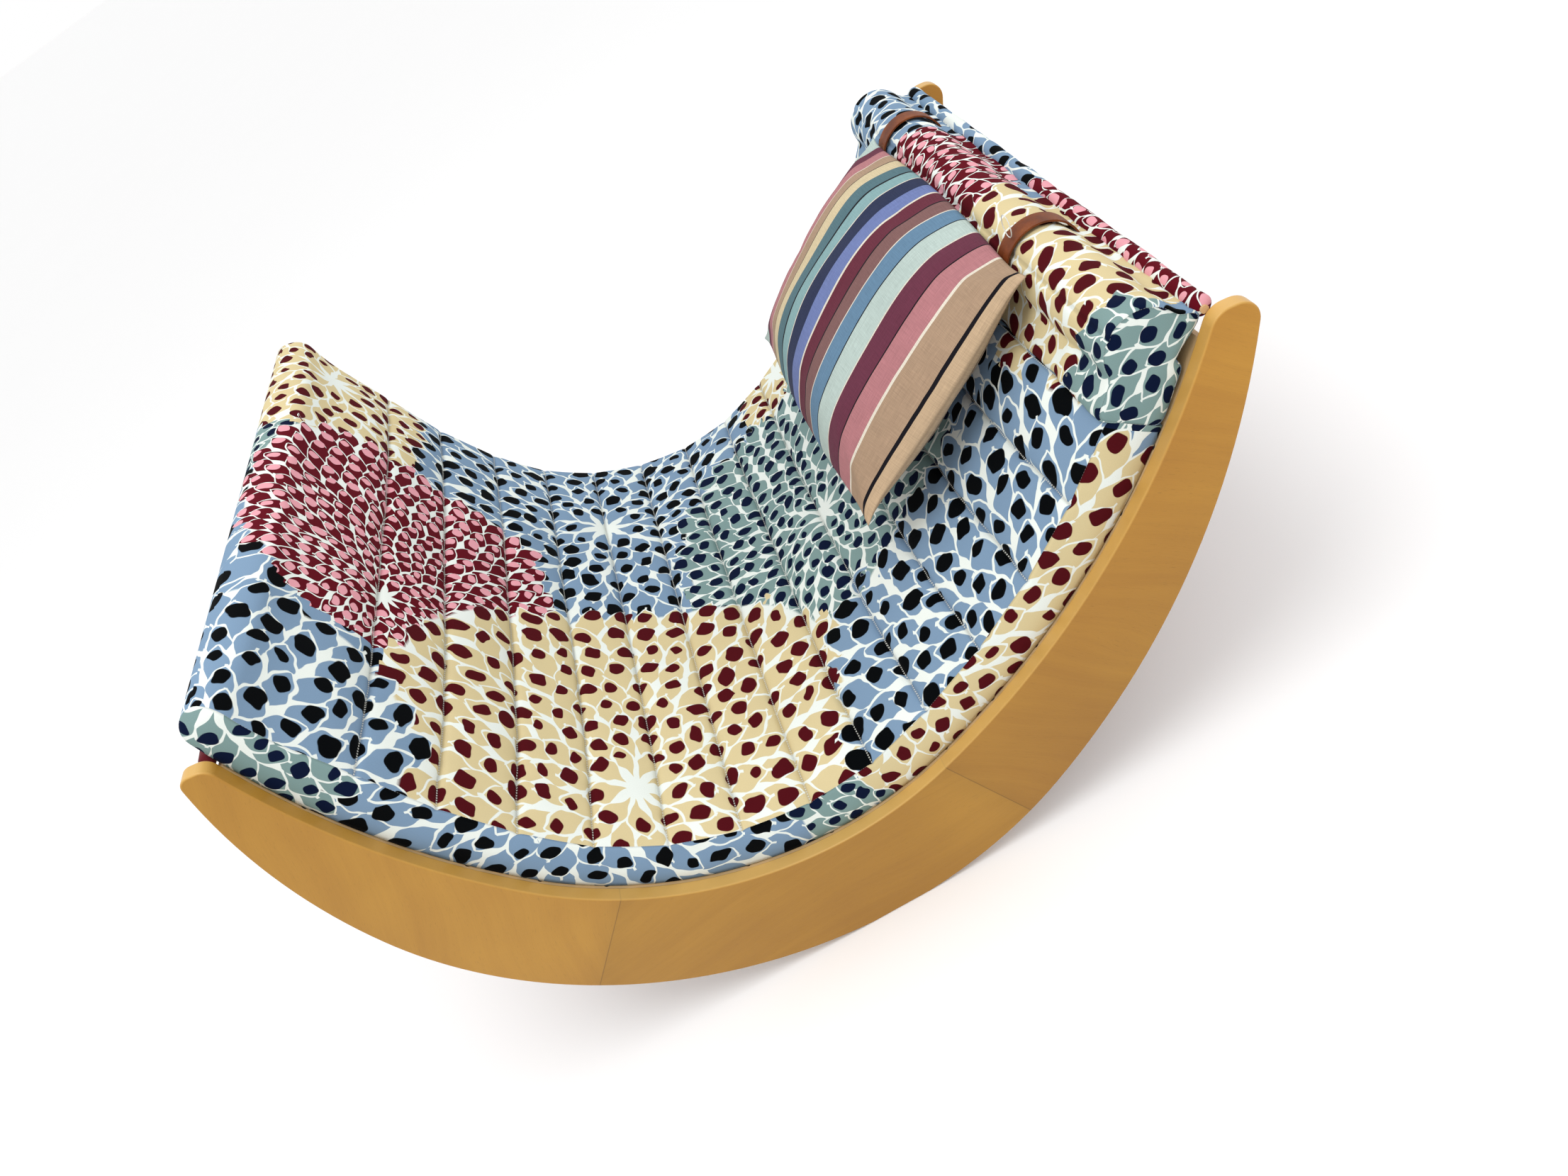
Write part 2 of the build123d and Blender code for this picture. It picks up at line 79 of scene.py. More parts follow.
ZONE_CENTRES = np.array([
    SEAT_CENTRE + direction(FOOT_JOIN) * (SEAT_RADIUS - FOOT_RADIUS),
    SEAT_CENTRE,
    SEAT_CENTRE + direction(HEAD_JOIN) * (SEAT_RADIUS - HEAD_RADIUS),
])
ZONE_RADII = np.array([FOOT_RADIUS, SEAT_RADIUS, HEAD_RADIUS])
ZONE_ANGLES = np.array([FOOT_START, FOOT_JOIN, HEAD_JOIN])
ZONE_STARTS = np.array([0.0, FOOT_RADIUS * (FOOT_JOIN - FOOT_START), 0.0])
ZONE_STARTS[2] = ZONE_STARTS[1] + SEAT_RADIUS * (HEAD_JOIN - FOOT_JOIN)


def edge_point(s, inward=0.0):
    """(u, w) at the distance s along the panels' inner edge, moved inward."""
    zone = np.clip(np.searchsorted(ZONE_STARTS, s, side="right") - 1, 0, 2)
    angle = ZONE_ANGLES[zone] + (s - ZONE_STARTS[zone]) / ZONE_RADII[zone]
    radius = ZONE_RADII[zone] - inward
    centre = ZONE_CENTRES[zone]
    return centre[..., 0] + radius * np.cos(angle), centre[..., 1] + radius * np.sin(angle)


def world(u, y, w):
    """Points of the row frame, in metres, of profile points (u, w) at the depth y."""
    u, y, w = np.broadcast_arrays(u, y, w)
    x = SHIFT + u * cos(TILT) - w * sin(TILT)
    z = FLOOR_DROP + u * sin(TILT) + w * cos(TILT)
    return np.stack([x, y, z], -1) * MM


CLOTH_INSIDE = 100.0         # the pad's cloth runs this far inside the inner edge


def cloth_along(s):
    """Length of the pad's cloth up to the distance s."""
    scale = (ZONE_RADII - CLOTH_INSIDE) / ZONE_RADII
    ends = np.array([ZONE_STARTS[1], ZONE_STARTS[2], np.inf])
    total = scale[0] * np.minimum(s, ends[0])
    for zone in (1, 2):
        total = total + scale[zone] * np.clip(s - ends[zone - 1], 0, ends[zone] - ends[zone - 1])
    return total


RIPPLE_WAVES, RIPPLE_SWING = 7, 3.2


def ripple(x, y, size, seed):
    """Smooth wandering value between about -1 and 1, with features of the given size."""
    draw = np.random.RandomState(seed)
    total = 0.0
    for _ in range(RIPPLE_WAVES):
        heading, phase = draw.uniform(0, tau), draw.uniform(0, tau)
        pitch = size * draw.uniform(0.7, 1.6)
        total = total + np.sin(tau * (x * cos(heading) + y * sin(heading)) / pitch + phase)
    return total / RIPPLE_SWING


def smooth(x):
    x = np.clip(x, 0, 1)
    return x * x * (3 - 2 * x)


# ---- node helpers
class Val:
    """A number inside a node tree, so that a shader reads as arithmetic."""

    def __init__(self, tree, out):
        self.tree, self.out = tree, out

    def op(self, name, *others, clamp=False):
        node = self.tree.nodes.new("ShaderNodeMath")
        node.operation, node.use_clamp = name, clamp
        for socket, value in zip(node.inputs, (self, *others)):
            if isinstance(value, Val):
                self.tree.links.new(value.out, socket)
            else:
                socket.default_value = value
        return Val(self.tree, node.outputs[0])

    def __add__(self, other):
        return self.op("ADD", other)

    def __sub__(self, other):
        return self.op("SUBTRACT", other)

    def __mul__(self, other):
        return self.op("MULTIPLY", other)

    def __truediv__(self, other):
        return self.op("DIVIDE", other)

    def __rsub__(self, other):
        return (self * -1.0) + other

    def clamped(self):
        return self.op("ADD", 0.0, clamp=True)

    __radd__ = __add__


class Shader:
    """A material under construction, with the nodes used often."""

    def __init__(self, name, roughness=0.6, **sockets):
        self.material = bpy.data.materials.new(name)
        self.material.use_nodes = True
        self.tree = self.material.node_tree
        self.surface = self.tree.nodes["Principled BSDF"]
        self.surface.inputs["Roughness"].default_value = roughness
        for socket, value in sockets.items():
            self.surface.inputs[socket.replace("_", " ")].default_value = value

    def node(self, kind, inputs=(), **settings):
        made = self.tree.nodes.new("ShaderNode" + kind)
        for key, value in settings.items():
            setattr(made, key, value)
        for key, value in dict(inputs).items():
            self.put(value, made.inputs[key])
        return made

    def put(self, value, socket):
        if isinstance(value, Val):
            self.tree.links.new(value.out, socket)
        elif isinstance(value, bpy.types.NodeSocket):
            self.tree.links.new(value, socket)
        else:
            socket.default_value = value

    def val(self, socket):
        return Val(self.tree, socket)

    def split(self, vector):
        return [self.val(o) for o in self.node("SeparateXYZ", {"Vector": vector}).outputs]

    def join(self, *values):
        return self.node("CombineXYZ", dict(zip("XYZ", values))).outputs[0]

    def constant(self, number):
        """A value of its own, for arithmetic that wants one."""
        socket = self.node("Value").outputs[0]
        socket.default_value = number
        return self.val(socket)

    def attribute(self, name):
        return self.node("Attribute", attribute_name=name).outputs["Vector"]

    def place(self):
        return self.node("TexCoord").outputs["Object"]

    def noise(self, vector, scale, detail=2.0, roughness=0.5):
        found = self.node("TexNoise", {"Vector": vector, "Scale": scale, "Detail": detail,
                                       "Roughness": roughness})
        return self.val(found.outputs["Fac"])

    def stretched(self, place, stretch, detail=2.0, roughness=0.5):
        """Noise with its own fineness along each axis."""
        place = self.join(*(value * fineness for value, fineness in zip(place, stretch)))
        return self.noise(place, 1.0, detail, roughness)

    def random(self, *values):
        found = self.node("TexWhiteNoise", {"Vector": self.join(*values)}, noise_dimensions="3D")
        return self.split(found.outputs["Color"])

    def mix(self, low, high, amount, kind="MIX"):
        made = self.tree.nodes.new("ShaderNodeMix")
        made.data_type, made.blend_type = "RGBA", kind
        self.put(amount, made.inputs["Factor"])
        self.put(low, made.inputs[6])
        self.put(high, made.inputs[7])
        return made.outputs[2]

    def shade(self, colour, factor):
        """The colour times a number."""
        return self.mix(colour, self.join(factor, factor, factor), 1.0, "MULTIPLY")

    def ramp(self, value, stops, interpolation="LINEAR"):
        made = self.node("ValToRGB", {"Fac": value})
        made.color_ramp.interpolation = interpolation
        elements = made.color_ramp.elements
        while len(elements) < len(stops):
            elements.new(0.5)
        for element, (position, colour) in zip(elements, stops):
            element.position, element.color = position, colour
        return made.outputs["Color"]

    def bump(self, height, distance, strength=1.0, below=None):
        inputs = {"Height": height, "Distance": distance, "Strength": strength}
        if below is not None:
            inputs["Normal"] = below
        return self.node("Bump", inputs).outputs["Normal"]

    def finish(self, colour, normal=None, roughness=None):
        for socket, value in (("Base Color", colour), ("Normal", normal), ("Roughness", roughness)):
            if value is not None:
                self.put(value, self.surface.inputs[socket])
        return self.material


def srgb(red, green, blue):
    """Linear colour of an 8-bit screen colour."""
    channels = [c / 255 for c in (red, green, blue)]
    return (*[c / 12.92 if c <= 0.04045 else ((c + 0.055) / 1.055) ** 2.4 for c in channels], 1.0)


# ---- printed cloth
WHITE = srgb(226, 232, 226)
BLUE, CREAM, BURGUNDY, SAGE = range(4)
PETAL_COLOURS = (srgb(120, 146, 172), srgb(208, 192, 148), srgb(92, 12, 26), srgb(122, 148, 146))
DOT_COLOURS = (srgb(2, 4, 6), srgb(76, 12, 20), srgb(222, 156, 166), srgb(8, 20, 48))
FLOWER_SCALES = (1.06, 0.98, 0.60, 0.80)
RING = 30.0                  # width of the first ring of petals, millimetres
RING_GROWTH = 0.06           # how much wider each next ring is
HEART = 14.0                 # the rings start this far inside the flower's centre
PETAL_WIDE, PETAL_GROWTH = 32.0, 1.9
OUTLINE = 3.6                # white line between petals
FIRST_RING = 2               # petals start at this ring, round a white star
REACH = 46.0                 # how far a flower's petals lap over its neighbour
FULLEST = 0.35               # how far out in its ring a petal is widest
DOT_PLACE = 0.44             # how far out in its ring a dot lies
DOT_POWER = 2.8              # how square a dot is: 2 is an ellipse
SHARPNESS = 1.2              # of the printed edges, per millimetre
DRIFTS = ((16.0, 5.0), (55.0, 4.0))     # noise scale and shift, millimetres, of the hand-drawn lines
SQUARENESS = 2.6             # how square a flower's territory is


def ring_radius(ring):
    return ring * (ring * (RING_GROWTH / 2) + 1.0) * RING - HEART


def petals(make, ring, q, turn, x, y, palette, tips, border):
    """Masks of one ring of petals: petal, dot and petal with its outline, all inside the border."""
    spacing = (ring * RING_GROWTH + 1.0) * RING
    radius = ring_radius(ring)
    wanted = ring * PETAL_GROWTH + PETAL_WIDE
    count = (radius * tau / wanted).op("ROUND").op("MAXIMUM", 3.0)
    width = radius * tau / count
    phase = make.random(ring, palette, 3.0)[0]
    spun = turn * count + phase
    number = spun.op("FLOOR")
    first, second, third = make.random(number.op("FLOORED_MODULO", count), ring, palette)
    along = q - ring
    across = spun - number - 0.5 + (first - 0.5) * 0.12 + along * (third - 0.5) * 0.5
    outer = along.op("MAXIMUM", 0.0) * (second * 0.22 + 0.98)
    inner = along.op("MINIMUM", 0.0) + 1.0
    tip = (1.0 - outer.op("POWER", 1.7)).op("MAXIMUM", 0.0).op("POWER", 0.9)
    root = inner.op("MAXIMUM", 0.0).op("POWER", 0.75)
    inside = ((second * 0.10 + 0.46) * (tip * root) - across.op("ABSOLUTE")) * width - OUTLINE / 2
    petal = (inside * SHARPNESS + 0.5).clamped()
    cover = ((inside + OUTLINE) * SHARPNESS + 0.5).clamped()

    dot_along = (along - (third - 0.5) * 0.24 - DOT_PLACE - tips * 0.06) * spacing
    dot_across = (across + (first - 0.5) * 0.14) * width
    lean = (second - 0.5) * 1.5
    long_way = dot_along - dot_across * lean
    wide_way = dot_across + dot_along * lean
    dot_wide = width * (first * 0.10 + 0.22 - tips * 0.015)
    dot_long = dot_wide * (1.3 - third * 0.35)
    block = ((wide_way.op("ABSOLUTE") / dot_wide).op("POWER", DOT_POWER)
             + (long_way.op("ABSOLUTE") / dot_long).op("POWER", DOT_POWER))
    dot = ((1.0 - block) * dot_wide * 0.4 + 0.5).clamped()

    here, slope_x, slope_y = border
    middle = ring_radius(ring + FULLEST)
    heading = ((number + 0.5 - phase) / count - 0.5) * tau
    centre_x = heading.op("COSINE") * middle
    centre_y = heading.op("SINE") * middle
    margin = here + slope_x * (centre_x - x) + slope_y * (centre_y - y)
    valid = (margin * 4.0).clamped()
    return petal * valid, dot * valid, cover * valid


def flower(make, corner_name, border):
    """Colour of a flower at its own distance from the point, and where it covers what is below."""
    x, y, palette = make.split(make.attribute(corner_name))
    palette = palette.op("ROUND")
    cloth = make.attribute("cloth")
    for scale, amount in DRIFTS:
        drift = make.node("TexNoise", {"Vector": cloth, "Scale": scale, "Detail": 0.0})
        warp = make.split(drift.outputs["Color"])
        x = x + (warp[0] - 0.5) * amount * 2
        y = y + (warp[1] - 0.5) * amount * 2
    reach = (x * x + y * y).op("SQRT")
    q = (((reach + HEART) * (2 * RING_GROWTH / RING) + 1.0).op("SQRT") - 1.0) / RING_GROWTH
    turn = y.op("ARCTAN2", x) / tau + 0.5
    tips = 1.0 - (palette - 2.0).op("ABSOLUTE").clamped()
    petal_colour, dot_colour = (
        make.ramp(palette / 4 + 0.125, [(n / 4, c) for n, c in enumerate(colours)], "CONSTANT")
        for colours in (PETAL_COLOURS, DOT_COLOURS))
    ring = q.op("FLOOR")
    colour, covered = WHITE, border[0] * 0.2 - 4.0
    for number in (ring + 1.0, ring):
        petal, dot, cover = petals(make, number, q, turn, x, y, palette, tips, border)
        grown = (number - (FIRST_RING - 1)).clamped()
        colour = make.mix(colour, WHITE, cover * grown)
        colour = make.mix(colour, petal_colour, petal * grown)
        colour = make.mix(colour, dot_colour, dot * grown)
        covered = covered.op("MAXIMUM", cover.op("MAXIMUM", dot))
    return colour, covered.clamped()


STITCH, THREAD_HALF = 0.0042, 0.0008     # a stitch's length and half the thread's width, metres
TWILL = (0.0016, 0.0021)     # pitch of the weave along its two diagonals, metres


def printed_cloth(name):
    make = Shader(name, roughness=0.9, Sheen_Weight=0.01, Sheen_Roughness=0.5, Specular_IOR_Level=0.05)
    border = make.split(make.attribute("border"))
    upper, covered = flower(make, "upper_flower", border)
    everywhere = [make.constant(number) for number in (FAR_AWAY, 0.0, 0.0)]
    lower, _ = flower(make, "lower_flower", everywhere)
    colour = make.mix(lower, upper, covered)

    cloth = make.attribute("cloth")
    dye = make.noise(cloth, 9.0, detail=3.0) * 0.14 + 0.93
    threads = make.noise(cloth, 900.0, detail=1.0) * 0.16 + 0.92
    colour = make.shade(colour, dye * threads)

    seam, stitched, _ = make.split(make.attribute("seam"))
    x, y, _ = make.split(cloth)
    dash = ((stitched * (tau / STITCH)).op("SINE") * 3.0 + 1.2).clamped()
    thread = (1.0 - (seam.op("ABSOLUTE") - THREAD_HALF).op("MAXIMUM", 0.0) * 1600.0).clamped() * dash
    # painted shade: where the cloth dips into a seam its colour is darkened by about a third; the same
    # crease also dents the bump
    crease = (1.0 - seam.op("ABSOLUTE") * 260.0).clamped()
    colour = make.shade(colour, 1.0 - crease * 0.34)
    colour = make.mix(colour, srgb(206, 206, 198), thread * 0.75)

    rising = ((x + y) * (tau / TWILL[0])).op("SINE")
    falling = ((x - y) * (tau / TWILL[1])).op("SINE")
    twill = (rising + falling) * 0.25 + 0.5
    weave = make.bump(twill + make.noise(cloth, 420.0) * 0.6, 0.00005, 0.5)
    normal = make.bump(thread - crease * 0.6, 0.0005, 0.6, below=weave)
    return make.finish(colour, normal)


class Flower:
    """A printed flower: its centre, its palette and the rounded box that it fills, in cloth millimetres."""

    def __init__(self, x, y, palette, box=None):
        self.centre, self.palette, self.box = (x, y), palette, box

    def depth(self, cloth):
        """Distance inside the flower's territory, negative outside."""
        if self.box is None:
            return np.full(cloth.shape[:-1], FAR_AWAY)
        x, y, wide, tall = self.box
        far = (np.abs((cloth[..., 0] - x) / wide) ** SQUARENESS
               + np.abs((cloth[..., 1] - y) / tall) ** SQUARENESS)
        return (1 - far ** (1 / SQUARENESS)) * min(wide, tall)


def print_corners(cloth, flowers):
    """Corner values of the two flowers that each face shows. cloth has shape (faces, 4, 2)."""
    middle = cloth.mean(axis=1)
    depths = np.array([f.depth(middle) for f in flowers])
    last = len(flowers) - 1
    upper = np.argmax(depths > -REACH, axis=0)
    below = (depths > 0) & (np.arange(len(flowers))[:, None] > upper)
    lower = np.where(upper == last, last, np.argmax(below, axis=0))
    result = {}
    for name, chosen in (("upper_flower", upper), ("lower_flower", lower)):
        values = np.zeros((*cloth.shape[:2], 3))
        for number, f in enumerate(flowers):
            faces = chosen == number
            values[faces, :, :2] = (cloth[faces] - f.centre) / FLOWER_SCALES[f.palette]
            values[faces, :, 2] = f.palette
        result[name] = values
    border = np.zeros((*cloth.shape[:2], 3))
    for number, f in enumerate(flowers):
        faces = upper == number
        here = f.depth(cloth[faces])
        border[faces, :, 0] = here / FLOWER_SCALES[f.palette]
        border[faces, :, 1] = f.depth(cloth[faces] + (1.0, 0.0)) - here
        border[faces, :, 2] = f.depth(cloth[faces] + (0.0, 1.0)) - here
    result["border"] = border
    return result


def cloth_grid(x, y):
    """Cloth coordinates of a grid, from values given along it or across it."""
    return np.stack(np.broadcast_arrays(x, y), -1)


class Patch:
    """A grid of points with its cloth coordinates and its distances to and along the nearest seam."""

    def __init__(self, points, cloth, seam=None, stitched=None, flowers=None):
        self.points, self.cloth, self.flowers = points, cloth, flowers
        shape = points.shape[:2]
        self.seam = np.full(shape, FAR_AWAY) if seam is None else np.broadcast_to(seam, shape)
        self.stitched = cloth[..., 1] if stitched is None else np.broadcast_to(stitched, shape)


SEWN_GAP = 2e-5              # points nearer than this are sewn together, metres


def add_piece(name, mesh, material):
    mesh.shade_smooth()
    mesh.materials.append(material)
    piece = bpy.data.objects.new(name, mesh)
    bpy.context.scene.collection.objects.link(piece)
    return piece


def sew(mesh, gap=0.0):
    """Joins points within the gap of each other and turns every face outward."""
    sewn = bmesh.new()
    sewn.from_mesh(mesh)
    if gap:
        bmesh.ops.remove_doubles(sewn, verts=sewn.verts, dist=gap)
        bmesh.ops.dissolve_degenerate(sewn, dist=gap, edges=sewn.edges)
    bmesh.ops.recalc_face_normals(sewn, faces=sewn.faces)
    sewn.to_mesh(mesh)
    sewn.free()


def declare(piece, body, slot, *nodes):
    """Says which body the piece rides on and which nodes it replaces. The slot is not used."""
    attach(piece, body)
    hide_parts(*nodes)


def make_piece(name, patches, material):
    """One mesh of all the patches, sewn together where their edges meet."""
    points, faces, corners = [], [], {}
    base = 0
    for patch in patches:
        rows, columns = patch.points.shape[:2]
        points.append(patch.points.reshape(-1, 3))
        index = np.arange(rows * columns).reshape(rows, columns)
        quads = np.stack([index[:-1, :-1], index[1:, :-1], index[1:, 1:], index[:-1, 1:]], -1)
        quads = quads.reshape(-1, 4)
        faces.append(quads + base)
        base += rows * columns
        cloth = patch.cloth.reshape(-1, 2)[quads]
        seam = patch.seam.reshape(-1)[quads]
        stitched = patch.stitched.reshape(-1)[quads]
        values = {"cloth": np.concatenate([cloth * MM, np.zeros((*quads.shape, 1))], -1),
                  "seam": np.stack([seam * MM, stitched * MM, np.zeros(quads.shape)], -1)}
        if patch.flowers:
            values.update(print_corners(cloth, patch.flowers))
        for key, value in values.items():
            corners.setdefault(key, []).append(value)
    points, faces = np.concatenate(points), np.concatenate(faces)
    mesh = bpy.data.meshes.new(name)
    mesh.from_pydata(points.tolist(), [], faces.tolist())
    for key, parts in corners.items():
        layer = mesh.attributes.new(key, "FLOAT_VECTOR", "CORNER")
        layer.data.foreach_set("vector", np.concatenate(parts).astype(np.float32).ravel())
    sew(mesh, SEWN_GAP)
    return add_piece(name, mesh, material)


# ---- quilted pad
PAD_START, PAD_END = -80.0, 1630.0
FIRST_SEAM, CHANNEL = 130.0, 125.0
SEAMS = FIRST_SEAM + CHANNEL * np.arange(13)
PAD_HALF = 504.5             # half width at the seams between top and boxing
PAD_UNDER = -2.5             # underside, just above the shell
FOOT_ROUND = 34.0            # rounding of the pad's foot end
SIDE_HIGH, CROWN_HIGH = 76.0, 105.0      # the pad's thickness along its edges and in the middle
FOOT_DROP = 20.0             # how much thinner it is towards the foot end
SEAT_MIDDLE, SEAT_REACH, SEAT_RISE = 760.0, 330.0, 12.0  # where it is thickest, and by how much
FAR_RISE = 22.0              # how much higher it is along the far panel
END_TUCK = 7.0               # how much narrower its foot end is on each side
WAIST = 30.0                 # height that the foot end's rounding closes at
CREASE_WIDE, PUCKER_WIDE = 4.5, 17.0     # reach of a seam's crease and of the puckers beside it
BOXING_BULGE = 3.4

PAD_FLOWERS = [
    Flower(-45, -25, BLUE, (-40, 60, 240, 212)),
    Flower(1140, -15, BLUE, (1115, 40, 300, 285)),
    Flower(512, 118, CREAM, (512, 118, 392, 402)),
    Flower(124, 379, BURGUNDY, (150, 520, 268, 262)),
    Flower(958, 505, SAGE, (970, 560, 312, 340)),
    Flower(-160, 655, SAGE, (-160, 655, 160, 66)),
    Flower(6, 947, CREAM, (-20, 950, 205, 245)),
    Flower(1560, 150, CREAM, (1530, 150, 190, 190)),
    Flower(1490, 520, BURGUNDY, (1500, 510, 120, 190)),
    Flower(990, 990, CREAM, (1000, 1000, 120, 140)),
    Flower(1330, 640, BLUE, (1400, 700, 320, 420)),
    Flower(541, 797, BLUE),
]
BOXING_FLOWERS = [
    Flower(-70, 60, SAGE, (-60, 40, 200, 130)),
    Flower(1010, -60, SAGE, (905, 20, 70, 160)),
    Flower(1180, 160, CREAM, (1290, 20, 330, 160)),
    Flower(1760, 90, SAGE, (1700, 40, 80, 160)),
    Flower(380, 190, BLUE),
]


def pad_stations():
    """Distances along the pad, dense beside each seam and at the foot's rounded end."""
    turn = np.linspace(0, pi / 2, 12)
    stations = list(PAD_START + FOOT_ROUND * (1 - np.cos(turn)))
    previous = stations[-1]
    for seam, steps in zip(SEAMS, [24] + [20] * 12):
        t = np.linspace(0, 1, steps + 1)[1:]
        stations += list(previous + (seam - previous) * (t - 0.62 * np.sin(tau * t) / tau))
        previous = seam
    return np.array(stations)


def seam_distance(s):
    return np.abs(np.subtract.outer(s, SEAMS)).min(axis=1)


def pad_heights(s, v):
    """Height of the pad's top above the inner edge. s down the rows, v from -1 to 1 across."""
    s, v = s[:, None], v[None, :]
    seat = np.exp(-((s - SEAT_MIDDLE) / SEAT_REACH) ** 2)
    far = FAR_RISE * smooth((v + 1) / 2) * (0.4 + 0.6 * seat)
    side = SIDE_HIGH - FOOT_DROP * smooth((150.0 - s) / 190.0) + far
    crown = CROWN_HIGH + SEAT_RISE * seat - FOOT_DROP * smooth((110.0 - s) / 150.0)
    crowned = 1 - np.abs(v) ** 3.8
    height = side + (crown - side) * crowned
    starts = np.append(PAD_START, SEAMS[:-1])
    channel = np.clip(np.searchsorted(SEAMS, s[:, 0], side="left"), 0, len(SEAMS) - 1)
    begin, finish = starts[channel], SEAMS[channel]
    x = ((s[:, 0] - begin) / (finish - begin))[:, None]
    puff = 1 - np.abs(2 * x - 1) ** 3.0
    calm = smooth((1 - np.abs(v)) * 9)
    height = height + (puff - 0.75) * (2.0 + 5.5 * calm)
    away = seam_distance(s[:, 0])[:, None]
    width = v * PAD_HALF
    crease = np.exp(-(away / CREASE_WIDE) ** 2)
    height = height - crease * (2.0 + 2.6 * calm)
    pucker = ripple(s * 0.25 + channel[:, None] * 77.0, width, 34.0, 5)
    pucker = pucker * np.exp(-(away / PUCKER_WIDE) ** 2)
    height = height + pucker * 1.1 * calm
    height = height + ripple(s, width, 210.0, 8) * 2.2 * calm
    ends = np.clip((s - PAD_START) / FOOT_ROUND, 0, 1)
    rounding = np.sqrt(np.maximum(1 - (1 - ends) ** 2, 0))
    return WAIST + (height - WAIST) * rounding, WAIST + (PAD_UNDER - WAIST) * rounding


def build_pad(material):
    s = pad_stations()
    v = np.sin(np.linspace(-pi / 2, pi / 2, 141) * 0.93) / sin(pi / 2 * 0.93)
    top, under = pad_heights(s, v)
    end_tuck = END_TUCK * (1 - np.clip((s - PAD_START) / FOOT_ROUND, 0, 1)) ** 2
    half = (PAD_HALF - end_tuck)[:, None]
    u, w = edge_point(s[:, None], top)
    y = half * v[None, :]
    middle = top[:, len(v) // 2]
    run = np.append(0, np.cumsum(np.hypot(np.diff(s), np.diff(middle))))
    rounded = s < PAD_START + FOOT_ROUND
    last = np.count_nonzero(rounded)
    along = np.where(rounded, cloth_along(s[last]) + run - run[last], cloth_along(s))
    cloth = cloth_grid(along[:, None], v[None, :] * PAD_HALF + HALF_WIDTH)
    patches = [Patch(world(u, y, w), cloth, seam_distance(s)[:, None], flowers=PAD_FLOWERS)]

    t = np.linspace(0, 1, 12)
    for side, edge in ((-1, top[:, :1]), (1, top[:, -1:])):
        height = edge + (under - edge) * t[None, :]
        bulge = BOXING_BULGE * np.sin(pi * t) ** 0.8 + 0.8 * ripple(s[:, None], height, 60.0, 21 + side)
        bulge[:, [0, -1]] = 0
        y = side * (half + bulge * np.clip((s - PAD_START) / 20.0, 0, 1)[:, None])
        u, w = edge_point(s[:, None], height)
        seam = np.minimum(np.abs(height - edge), 30.0)
        patches.append(Patch(world(u, y, w), cloth_grid(s[:, None], height), seam + 1.0,
                             stitched=s[:, None], flowers=BOXING_FLOWERS))
    u, w = edge_point(s[:, None], under)
    y = half * np.linspace(-1, 1, 41)[None, :]
    cloth = cloth_grid(2 * along[0] - along[:, None], y + HALF_WIDTH)
    patches.append(Patch(world(u, y, w), cloth, flowers=PAD_FLOWERS))
    rows = np.linspace(0, 1, 9)[:, None]
    top_u, top_w = edge_point(s[-1:, None], top[-1:])
    low_u, low_w = edge_point(s[-1:, None], PAD_UNDER)
    y = PAD_HALF * v[None, :]
    points = world(top_u + (low_u - top_u) * rows, y, top_w + (low_w - top_w) * rows)
    patches.append(Patch(points, cloth_grid(rows * 90, y), flowers=[PAD_FLOWERS[-1]]))
    pad = make_piece("quilted_pad", patches, material)
    channels = [f"mattress_channel_{n:02d}" for n in range(1, len(SEAMS) + 1)]
    declare(pad, "frame", "petal_print_cotton", *channels, "left_boxing_strip", "right_boxing_strip")


# ---- head roll and rims
ROLL_CENTRE, ROLL_RADIUS = np.array([537.0, 1.0]), 52.0
ROLL_TAIL = 1712.0
ROLL_HALF = 507.0            # half its length, less the rounding of its ends
ROLL_EYE = np.array([526.0, -36.0])     # point inside, that its outline is drawn round
ROLL_TAIL_HIGH = 92.0        # where the roll's tail starts on the pad, above the inner edge
ROLL_FLAP = [np.array(corner) for corner in     # cloth closing the gap to the head rim
             ((500.0, 5.0), (580.0, 21.0), (616.0, 18.0), (616.0, 2.0), (500.0, -60.0))]
ROLL_SEAM = 48.0             # seam's distance in front of the crest
STRAP_HOLLOW = (22.0, 95.0)  # reach of a strap's hollow, across and along it
ROLL_ROUNDING, ROLL_TUCK = 12.0, 4.0 / 60    # length and share of the radius that its ends round off
ROLL_FLOWERS = [
    Flower(250, -40, SAGE, (60, 10, 175, 92)),
    Flower(-30, 250, CREAM, (120, 250, 260, 225)),
    Flower(-10, 640, BURGUNDY, (100, 620, 200, 185)),
    Flower(60, 960, BLUE),
]
HEAD_RIM = (612.0, 14.0)     # centres of the rims' sections
FOOT_RIM = np.array(edge_point(np.array(-11.0), -15.0)).ravel()
RIM_SLACK = 0.8              # how much thinner a rim is drawn, to leave room for its lumps
RIM_SEAM = radians(250)
RIM_FLOWERS = [
    Flower(-120, 150, BURGUNDY, (20, 150, 200, 330)),
    Flower(20, 820, BLUE),
]


def polygon_reach(corners, ways):
    """Distance from the eye to the outline of a convex polygon around it."""
    tiny, reach = 1e-6, np.full(len(ways), np.inf)
    for a, b in zip(corners, corners[1:] + corners[:1]):
        edge = b - a
        normal = np.array([edge[1], -edge[0]])
        normal = normal * np.sign(normal @ (a - ROLL_EYE))
        facing = ways @ normal
        limit = (normal @ (a - ROLL_EYE)) / np.maximum(facing, tiny)
        reach = np.where(facing > tiny, np.minimum(reach, limit), reach)
    return reach


